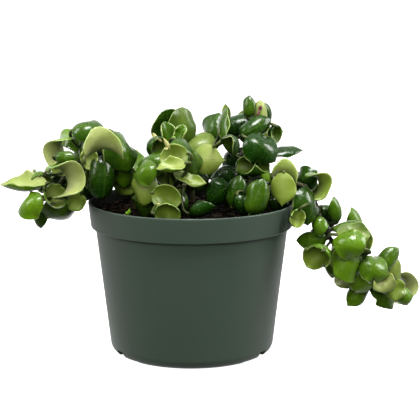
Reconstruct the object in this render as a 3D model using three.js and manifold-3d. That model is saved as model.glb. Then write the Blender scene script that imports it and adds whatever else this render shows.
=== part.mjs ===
// A hindu rope plant in its nursery pot. Several woody stems stand in the potting mix, and each
// carries thick waxy leaves that curl and fold. Two of the stems trail over the rim.
// Millimetres, +Z up, +Y away from the front. The origin is on the pot's axis, on the ground.

import * as THREE from 'three';
import { mergeVertices } from 'three/addons/utils/BufferGeometryUtils.js';
import Module from 'manifold-3d';

const wasm = await Module();
wasm.setup();

// The pot: outer radii and heights
const POT_HEIGHT = 112.7;
const RIM_RADIUS = 76;
const BAND_HEIGHT = 18.2;
const BAND_FOOT_RADIUS = 74.2;
const WALL_TOP_RADIUS = 71.3;
const WALL_FOOT_RADIUS = 60.7;
const CORNER_HEIGHT = 8;
const BASE_RADIUS = 53;
const PLASTIC = 1.6;
const LIP_ROUNDING = 0.7;
const FLOOR_THICKNESS = 3.6;
const POT_SIDES = 60;
const CORNER_STEPS = 3;

// Three shallow channels part the feet, each with a drain slot through the corner
const CHANNELS = 3;
const CHANNEL_DEPTH = 1.8;
const CHANNEL_INNER_RADIUS = 36;
const CHANNEL_OUTER_RADIUS = 65;
const CHANNEL_HALF_ANGLE = 19;
const FIRST_CHANNEL = -30;
const SLOT_WIDTH = 9;
const SLOT_HEIGHT = 4.2;
const SLOT_INNER_RADIUS = 50;

// The potting mix fills the pot to just under the rim
const SOIL_TOP = 104.5;
const SOIL_GAP = 0.4;
const SOIL_SIDES = 30;
const SOIL_RINGS = [0.97, 0.65, 0.3];
const HOLE_SIDES = 8;
const SOIL_ROUGHNESS = 1.1;

// Stems and leaves
const STEM_RADIUS = 1.9;
const STEM_SIDES = 5;
const STEM_SPACING = 9;
const ROOT_DEPTH = 26;
const COLLAR = 3;
const HOLE_CLEARANCE = 0.35;
const PETIOLE_RADIUS = 1.25;
const PETIOLE_SIDES = 3;
const STALK_REACH = 0.15;
const LEAF_THICKNESS = 2.2;
const LEAF_STEPS = 24;
const LEAF_ROWS = 4;
const SMALL_LEAF = 25;
const SMALL_LEAF_ROWS = 3;
const LEAF_COLUMNS = 3;
const FOLD_STEPS = 12;
const SAMPLES = 8;

// Neighbouring leaves press each other apart along the line of sight of the front view
const ELBOW_ROOM = 0.33;
const FURTHEST_PRESS = 22;
const PRESS_ROUNDS = 30;
const REACH = 0.5;

// The front view by which the front leaves are placed: pixels of a 420 pixel picture, taken from
// one metre in front of the pot's axis, and looking down a little
const VIEW = {
  centre: 210,
  pixels: 1378.5,
  distance: 1000,
  height: 289.7,
  aside: 13.5,
  down: THREE.MathUtils.degToRad(10.46),
};
const SIGHT = new THREE.Vector3(0, Math.cos(VIEW.down), -Math.sin(VIEW.down));

const X = new THREE.Vector3(1, 0, 0);
const radians = THREE.MathUtils.degToRad;

// A repeatable number from 0 to 1 for each pair of whole numbers
function draw(row, column) {
  const value = Math.sin(row * 12.9898 + column * 78.233) * 43758.5453;
  return value - Math.floor(value);
}

// A place from where it is seen in the front view and how far it lies behind the pot's axis
function seen(across, down, behind) {
  const away = VIEW.distance + behind;
  const fall = -away * Math.tan(VIEW.down + Math.atan((down - VIEW.centre) / VIEW.pixels));
  const depth = away * Math.cos(VIEW.down) - fall * Math.sin(VIEW.down);
  const right = VIEW.aside + ((across - VIEW.centre) * depth) / VIEW.pixels;
  return new THREE.Vector3(right, behind, VIEW.height + fall);
}

// A direction from its bearing, 0 to the front and 90 to the right, and its rise, in degrees
function compass(bearing, rise) {
  const b = radians(bearing);
  const r = radians(rise);
  return new THREE.Vector3(Math.sin(b) * Math.cos(r), -Math.cos(b) * Math.cos(r), Math.sin(r));
}

// A closed geometry as a solid, and back
function solid(geometry) {
  const bare = geometry.clone();
  bare.deleteAttribute('normal');
  bare.deleteAttribute('uv');
  const merged = mergeVertices(bare, 1e-4);
  const vertProperties = Float32Array.from(merged.attributes.position.array);
  const triVerts = Uint32Array.from(merged.index.array);
  return new wasm.Manifold(new wasm.Mesh({ numProp: 3, vertProperties, triVerts }));
}

function geometryOf(manifold) {
  const mesh = manifold.getMesh();
  const geometry = new THREE.BufferGeometry();
  geometry.setAttribute('position', new THREE.BufferAttribute(mesh.vertProperties, 3));
  geometry.setIndex(new THREE.BufferAttribute(mesh.triVerts, 1));
  return geometry;
}

// The largest body of a union, without the small hollows that the union seals
function wholeBody(manifold) {
  const bodies = manifold.decompose();
  return bodies.reduce((best, body) => (body.volume() > best.volume() ? body : best));
}

function piece(name, geometry, color, roughness, metalness) {
  const mesh = new THREE.Mesh(geometry, new THREE.MeshStandardMaterial({ color, roughness, metalness }));
  mesh.name = name;
  return mesh;
}

function polygon(sides, radius) {
  const shape = new THREE.Shape();
  for (let i = 0; i < sides; i += 1) {
    const turn = (2 * Math.PI * i) / sides;
    const x = radius * Math.cos(turn);
    const y = radius * Math.sin(turn);
    if (i === 0) shape.moveTo(x, y);
    else shape.lineTo(x, y);
  }
  shape.closePath();
  return shape;
}

function tube(curve, sides, radius, steps) {
  const shape = polygon(sides, radius);
  return new THREE.ExtrudeGeometry(shape, { steps, bevelEnabled: false, extrudePath: curve });
}

// A lathe profile is given in the XZ plane and turned about Z
function lathe(profile, sides) {
  const points = profile.map(([radius, height]) => new THREE.Vector2(radius, height));
  return new THREE.LatheGeometry(points, sides).rotateX(Math.PI / 2);
}

// The pot

const BAND_FOOT = POT_HEIGHT - BAND_HEIGHT;

function wallRadius(height) {
  const share = (height - CORNER_HEIGHT) / (BAND_FOOT - CORNER_HEIGHT);
  return WALL_FOOT_RADIUS + (WALL_TOP_RADIUS - WALL_FOOT_RADIUS) * share;
}

function cornerProfile() {
  const profile = [];
  for (let i = 0; i <= CORNER_STEPS; i += 1) {
    const turn = (Math.PI / 2) * (i / CORNER_STEPS);
    const radius = BASE_RADIUS + (WALL_FOOT_RADIUS - BASE_RADIUS) * Math.sin(turn);
    profile.push([radius, CORNER_HEIGHT * (1 - Math.cos(turn))]);
  }
  return profile;
}

function potProfile() {
  const ledge = BAND_FOOT + PLASTIC;
  return [
    [0, 0],
    ...cornerProfile(),
    [WALL_TOP_RADIUS, BAND_FOOT],
    [BAND_FOOT_RADIUS, BAND_FOOT],
    [RIM_RADIUS, POT_HEIGHT - LIP_ROUNDING],
    [RIM_RADIUS - LIP_ROUNDING / 2, POT_HEIGHT],
    [RIM_RADIUS - PLASTIC, POT_HEIGHT],
    [BAND_FOOT_RADIUS - PLASTIC, ledge],
    [wallRadius(ledge) - PLASTIC, ledge],
    [WALL_FOOT_RADIUS - PLASTIC, CORNER_HEIGHT],
    [BASE_RADIUS - PLASTIC, FLOOR_THICKNESS],
    [0, FLOOR_THICKNESS],
  ];
}

// A block that reaches outwards from the pot's axis and down past its base
function radialBlock(inner, innerHalf, outer, outerHalf, top) {
  const shape = new THREE.Shape();
  shape.moveTo(inner, -innerHalf);
  shape.lineTo(outer, -outerHalf);
  shape.lineTo(outer, outerHalf);
  shape.lineTo(inner, innerHalf);
  shape.closePath();
  const below = CHANNEL_DEPTH;
  const block = new THREE.ExtrudeGeometry(shape, { depth: top + below, bevelEnabled: false });
  return block.translate(0, 0, -below);
}

function nurseryPot() {
  let pot = solid(lathe(potProfile(), POT_SIDES));
  const spread = Math.tan(radians(CHANNEL_HALF_ANGLE));
  const inner = CHANNEL_INNER_RADIUS;
  const outer = CHANNEL_OUTER_RADIUS;
  const half = SLOT_WIDTH / 2;
  for (let i = 0; i < CHANNELS; i += 1) {
    const turn = radians(FIRST_CHANNEL + (360 * i) / CHANNELS);
    const channel = radialBlock(inner, inner * spread, outer, outer * spread, CHANNEL_DEPTH);
    const slot = radialBlock(SLOT_INNER_RADIUS, half, outer, half, CHANNEL_DEPTH + SLOT_HEIGHT);
    pot = pot.subtract(solid(channel.rotateZ(turn))).subtract(solid(slot.rotateZ(turn)));
  }
  return piece('nursery_pot', geometryOf(pot), 0x3f5046, 0.5, 0);
}

// The leaf

// curl is the midrib's turn towards the underside and flick the share of it that the tip undoes.
// sway and twist turn the blade sideways and about itself. left and right are the turn of each half
// from midrib to margin, and lip the share of it that the margin undoes. wave is the rise and fall
// of the margin, broad the width over the length, and point how drawn out the tip is.
const FORMS = {
  shell: {
    curl: 112, flick: 0.4, sway: 8, twist: 8,
    left: 110, right: 92, lip: 0.5, wave: 0.08, broad: 0.95, point: 0.55,
  },
  bell: {
    curl: 92, flick: 0.5, sway: 10, twist: 15,
    left: 115, right: 95, lip: 0.85, wave: 0.09, broad: 1.0, point: 0.7,
  },
  lemon: {
    curl: 62, flick: 0.3, sway: 5, twist: 10,
    left: 105, right: 90, lip: 0.3, wave: 0.05, broad: 0.85, point: 1.0,
  },
  bowl: {
    curl: 150, flick: 0.1, sway: 5, twist: 15,
    left: 100, right: 85, lip: 0.1, wave: 0.04, broad: 1.05, point: 0.0,
  },
  dish: {
    curl: 110, flick: 0.1, sway: 5, twist: 5,
    left: 80, right: 70, lip: 0.2, wave: 0.04, broad: 0.9, point: 0.1,
  },
  fan: {
    curl: 30, flick: 0.3, sway: 15, twist: 25,
    left: 50, right: -40, lip: 0.3, wave: 0.1, broad: 0.9, point: 0.35,
  },
  cup: {
    curl: 175, flick: 0.1, sway: 10, twist: 10,
    left: 135, right: 120, lip: 0.2, wave: 0.03, broad: 1.05, point: 0.0,
  },
  hood: {
    curl: -70, flick: 0.3, sway: 15, twist: 20,
    left: -50, right: -75, lip: 0.4, wave: 0.07, broad: 0.9, point: 0.4,
  },
  sail: {
    curl: -35, flick: 0.2, sway: 10, twist: 20,
    left: -28, right: -60, lip: 0.4, wave: 0.06, broad: 1.0, point: 0.0,
  },
  saddle: {
    curl: 175, flick: 0.2, sway: 0, twist: 25,
    left: -40, right: -60, lip: 0.3, wave: 0.05, broad: 0.6, point: 0.0,
  },
  arch: {
    curl: 205, flick: 0.2, sway: 10, twist: 20,
    left: 70, right: 60, lip: 0.4, wave: 0.04, broad: 0.7, point: 0.2,
  },
  boat: {
    curl: 60, flick: 0.6, sway: 0, twist: 20,
    left: 105, right: 90, lip: 0.15, wave: 0.05, broad: 0.8, point: 0.7,
  },
  band: {
    curl: 60, flick: 0.3, sway: 0, twist: 20,
    left: 50, right: 45, lip: 0.2, wave: 0.04, broad: 0.4, point: 0.7,
  },
  clam: {
    curl: 80, flick: 0.2, sway: 10, twist: 0,
    left: 160, right: 150, lip: 0.0, wave: 0.02, broad: 1.35, point: 0.0,
  },
  hook: {
    curl: 220, flick: 0, sway: 0, twist: 30,
    left: -35, right: -45, lip: 0.2, wave: 0.04, broad: 0.6, point: 0.1,
  },
  ruff: {
    curl: -20, flick: 0.2, sway: 10, twist: 20,
    left: 30, right: -60, lip: 0.2, wave: 0.06, broad: 0.85, point: 0.0,
  },
  trough: {
    curl: -25, flick: 0.2, sway: 0, twist: 10,
    left: -100, right: -95, lip: 0.2, wave: 0.05, broad: 0.85, point: 0.3,
  },
  sickle: {
    curl: 100, flick: 0, sway: 0, twist: 15,
    left: 50, right: 40, lip: 0.3, wave: 0.03, broad: 0.5, point: 0.5,
  },
  kite: {
    curl: -20, flick: 0.2, sway: 0, twist: 15,
    left: -20, right: -45, lip: 0.2, wave: 0.03, broad: 0.8, point: 1.8,
  },
  open: {
    curl: 35, flick: 0, sway: 0, twist: 0,
    left: 35, right: 35, lip: 0, wave: 0, broad: 0.5, point: 1.0,
  },
};

// How wide the blade is at a share of the way along, from 0 to 1. Its section turns as much, so that
// a folded blade is rounded and not pinched towards its ends.
function halfWidth(along, point) {
  const power = 0.5 + (0.16 + 0.75 * point) * along ** 2 + 0.1 * point;
  return Math.max(0, 1 - Math.abs(2 * along - 1) ** 2.2) ** power;
}

// The midrib's places and frames, counted from the middle of the blade, which lies at the origin
function midrib(form, size) {
  const turns = [new THREE.Quaternion()];
  const places = [new THREE.Vector3()];
  for (let i = 0; i < LEAF_STEPS; i += 1) {
    const along = (i + 0.5) / LEAF_STEPS;
    const swell = 1.25 - 0.5 * Math.abs(2 * along - 1);
    const tip = 1 - (form.flick * 2.4 * Math.max(0, along - 0.55)) / 0.45;
    const rate = new THREE.Vector3(form.twist, form.curl * swell * tip, form.sway);
    rate.multiplyScalar(radians(1) / LEAF_STEPS);
    const angle = rate.length();
    const axis = rate.clone().normalize();
    const half = turns[i].clone().multiply(new THREE.Quaternion().setFromAxisAngle(axis, angle / 2));
    const step = X.clone().applyQuaternion(half).multiplyScalar(size / LEAF_STEPS);
    places.push(places[i].clone().add(step));
    turns.push(turns[i].clone().multiply(new THREE.Quaternion().setFromAxisAngle(axis, angle)));
  }
  const middle = LEAF_STEPS / 2;
  const back = turns[middle].clone().invert();
  const origin = places[middle].clone();
  return {
    turns: turns.map((turn) => back.clone().multiply(turn)),
    places: places.map((place) => place.clone().sub(origin).applyQuaternion(back)),
  };
}

// How far a half blade reaches sideways and drops at a share of the way out, and its slope there
function section(fold, lip, out) {
  let side = 0;
  let drop = 0;
  for (let i = 0; i < FOLD_STEPS; i += 1) {
    const share = (out * (i + 0.5)) / FOLD_STEPS;
    const slope = fold * (share - lip * share ** 3);
    side += (Math.cos(slope) * out) / FOLD_STEPS;
    drop += (Math.sin(slope) * out) / FOLD_STEPS;
  }
  return { side, drop, slope: fold * (out - lip * out ** 3) };
}

// The frame that lays a leaf with its upper face and its tip in the given directions
function layOf(leaf) {
  const face = leaf.face.clone().normalize();
  const tip = leaf.tip.clone().addScaledVector(face, -leaf.tip.dot(face)).normalize();
  return new THREE.Matrix4().makeBasis(tip, face.clone().cross(tip), face).setPosition(leaf.centre);
}

// A point of the blade's middle surface, and the normal of its upper face there
function bladePoint(leaf, form, rib, lay, along, across) {
  const station = Math.round(along * LEAF_STEPS);
  const sign = Math.sign(across);
  const out = Math.abs(across);
  const swell = halfWidth(along, form.point);
  const half = ((leaf.size * form.broad) / 2) * swell;
  const fold = radians(across < 0 ? form.left : form.right) * swell;
  const { side, drop, slope } = section(fold, form.lip, out);
  const swing = Math.sin(2 * Math.PI * (1.25 * along + 0.3 * sign)) * Math.sin(Math.PI * along);
  const lift = form.wave * leaf.size * out ** 2 * swing;
  const place = new THREE.Vector3(0, half * side * sign, lift - half * drop);
  place.applyQuaternion(rib.turns[station]).add(rib.places[station]).applyMatrix4(lay);
  const normal = new THREE.Vector3(0, sign * Math.sin(slope), Math.cos(slope));
  normal.applyQuaternion(rib.turns[station]).transformDirection(lay);
  return { place, normal };
}

function thicknessAt(along, across) {
  const side = Math.sqrt(1 - Math.abs(across) ** 4);
  return LEAF_THICKNESS * side * Math.min(1, 4 * along + 0.3) * Math.min(1, 3 * (1 - along) + 0.3);
}

// Each leaf's own turn on its form
function formOf(leaf) {
  const form = { ...FORMS[leaf.form] };
  form.curl *= 0.92 + 0.16 * draw(leaf.number, 1);
  form.left *= 0.9 + 0.2 * draw(leaf.number, 2);
  form.right *= 0.9 + 0.2 * draw(leaf.number, 3);
  form.broad *= 0.94 + 0.12 * draw(leaf.number, 4);
  form.twist += 24 * (draw(leaf.number, 5) - 0.5);
  form.sway += 24 * (draw(leaf.number, 6) - 0.5);
  return form;
}

// The blade as a closed lens: an upper and an under face that meet along the margin
function bladeGeometry(leaf) {
  const form = formOf(leaf);
  const rib = midrib(form, leaf.size);
  const lay = layOf(leaf);
  const rows = leaf.size < SMALL_LEAF ? SMALL_LEAF_ROWS : LEAF_ROWS;
  const positions = [];
  const upper = [];
  const under = [];
  const keep = (point) => positions.push(point.x, point.y, point.z) / 3 - 1;
  for (let i = 0; i <= rows; i += 1) {
    upper.push([]);
    under.push([]);
    for (let j = 0; j <= LEAF_COLUMNS; j += 1) {
      const pole = i === 0 || i === rows;
      const along = i / rows;
      const across = pole ? 0 : (2 * j) / LEAF_COLUMNS - 1;
      const { place, normal } = bladePoint(leaf, form, rib, lay, along, across);
      if (pole && j > 0) {
        upper[i][j] = upper[i][0];
        under[i][j] = upper[i][0];
      } else if (pole || j === 0 || j === LEAF_COLUMNS) {
        upper[i][j] = keep(place);
        under[i][j] = upper[i][j];
      } else {
        const half = thicknessAt(along, across) / 2;
        upper[i][j] = keep(place.clone().addScaledVector(normal, half));
        under[i][j] = keep(place.clone().addScaledVector(normal, -half));
      }
    }
  }
  const index = [];
  const face = (a, b, c) => {
    if (a !== b && b !== c && c !== a) index.push(a, b, c);
  };
  for (let i = 0; i < rows; i += 1) {
    for (let j = 0; j < LEAF_COLUMNS; j += 1) {
      face(upper[i][j], upper[i + 1][j], upper[i + 1][j + 1]);
      face(upper[i][j], upper[i + 1][j + 1], upper[i][j + 1]);
      face(under[i][j], under[i + 1][j + 1], under[i + 1][j]);
      face(under[i][j], under[i][j + 1], under[i + 1][j + 1]);
    }
  }
  const geometry = new THREE.BufferGeometry();
  geometry.setAttribute('position', new THREE.Float32BufferAttribute(positions, 3));
  geometry.setIndex(index);
  return geometry;
}

// The stems

// A stem's root stands upright in the mix, and its run starts a little above it
function rootOf([x, y]) {
  return [[x, y, SOIL_TOP - ROOT_DEPTH], [x, y, SOIL_TOP - ROOT_DEPTH / 2], [x, y, SOIL_TOP + COLLAR]];
}

function curveOf(points) {
  const places = points.map(([x, y, z]) => new THREE.Vector3(x, y, z));
  return new THREE.CatmullRomCurve3(places, false, 'catmullrom', 0.5);
}

function samplesOf(curve) {
  const count = SAMPLES * (curve.points.length - 1);
  const samples = [];
  for (let i = 0; i <= count; i += 1) samples.push(curve.getPoint(i / count));
  return samples;
}

function clearOfSoil(point) {
  return point.z > SOIL_TOP + 5 || Math.hypot(point.x, point.y) > RIM_RADIUS;
}

// The leaf stalk leaves the nearest stem and runs a little way under the blade's base
function petioleGeometry(leaf, samples) {
  const form = formOf(leaf);
  const rib = midrib(form, leaf.size);
  const lay = layOf(leaf);
  const inner = bladePoint(leaf, form, rib, lay, STALK_REACH, 0).place;
  const open = samples.filter(clearOfSoil);
  const foot = open.reduce((best, p) => (p.distanceTo(inner) < best.distanceTo(inner) ? p : best));
  return tube(new THREE.LineCurve3(foot, inner), PETIOLE_SIDES, PETIOLE_RADIUS, 1);
}

// Opposite pairs along a stem, each pair a quarter turn on from the last. A stem that is seen from
// the front has them on its far side only.
function pairsAlong(samples, rule) {
  const distances = [0];
  for (let i = 1; i < samples.length; i += 1) {
    distances.push(distances[i - 1] + samples[i].distanceTo(samples[i - 1]));
  }
  const pointAt = (distance) => {
    const i = Math.max(1, distances.findIndex((d) => d >= distance));
    const share = (distance - distances[i - 1]) / (distances[i] - distances[i - 1]);
    return samples[i - 1].clone().lerp(samples[i], share);
  };
  const end = Math.min(rule.last, distances[distances.length - 1] - 3);
  const leaves = [];
  for (let pair = 0; rule.first + pair * rule.spacing < end; pair += 1) {
    const at = rule.first + pair * rule.spacing;
    const place = pointAt(at);
    const stem = pointAt(at + 2).sub(place).normalize();
    const aside = stem.clone().cross(new THREE.Vector3(0, 1, 0)).normalize();
    const up = aside.clone().cross(stem);
    for (const side of [0, 1]) {
      const key = 4 * pair + side;
      const random = (column) => draw(rule.seed + column, key);
      const turn = radians(90 * pair + 180 * side + 60 * (random(0) - 0.5));
      const out = aside.clone().multiplyScalar(Math.cos(turn)).addScaledVector(up, Math.sin(turn));
      if (rule.allRound || out.y > 0.15) {
        const centre = place.clone().addScaledVector(out, 9.5 + 3 * random(1));
        centre.addScaledVector(stem, 4 * (random(2) - 0.3));
        const face = out.clone().multiplyScalar(random(3) < 0.3 ? -1 : 1);
        face.add(new THREE.Vector3(random(4) - 0.5, random(5) - 0.5, random(6) - 0.2).multiplyScalar(0.7));
        const tip = stem.clone();
        tip.add(new THREE.Vector3(random(7) - 0.5, random(8) - 0.5, random(9) - 0.5).multiplyScalar(0.8));
        const form = ['shell', 'shell', 'saddle', 'hood', 'arch', 'clam'][Math.floor(6 * random(10))];
        leaves.push({ ruled: true, form, centre, tip, face, size: 26 + 8 * random(11) });
      }
    }
  }
  return leaves;
}

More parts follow.
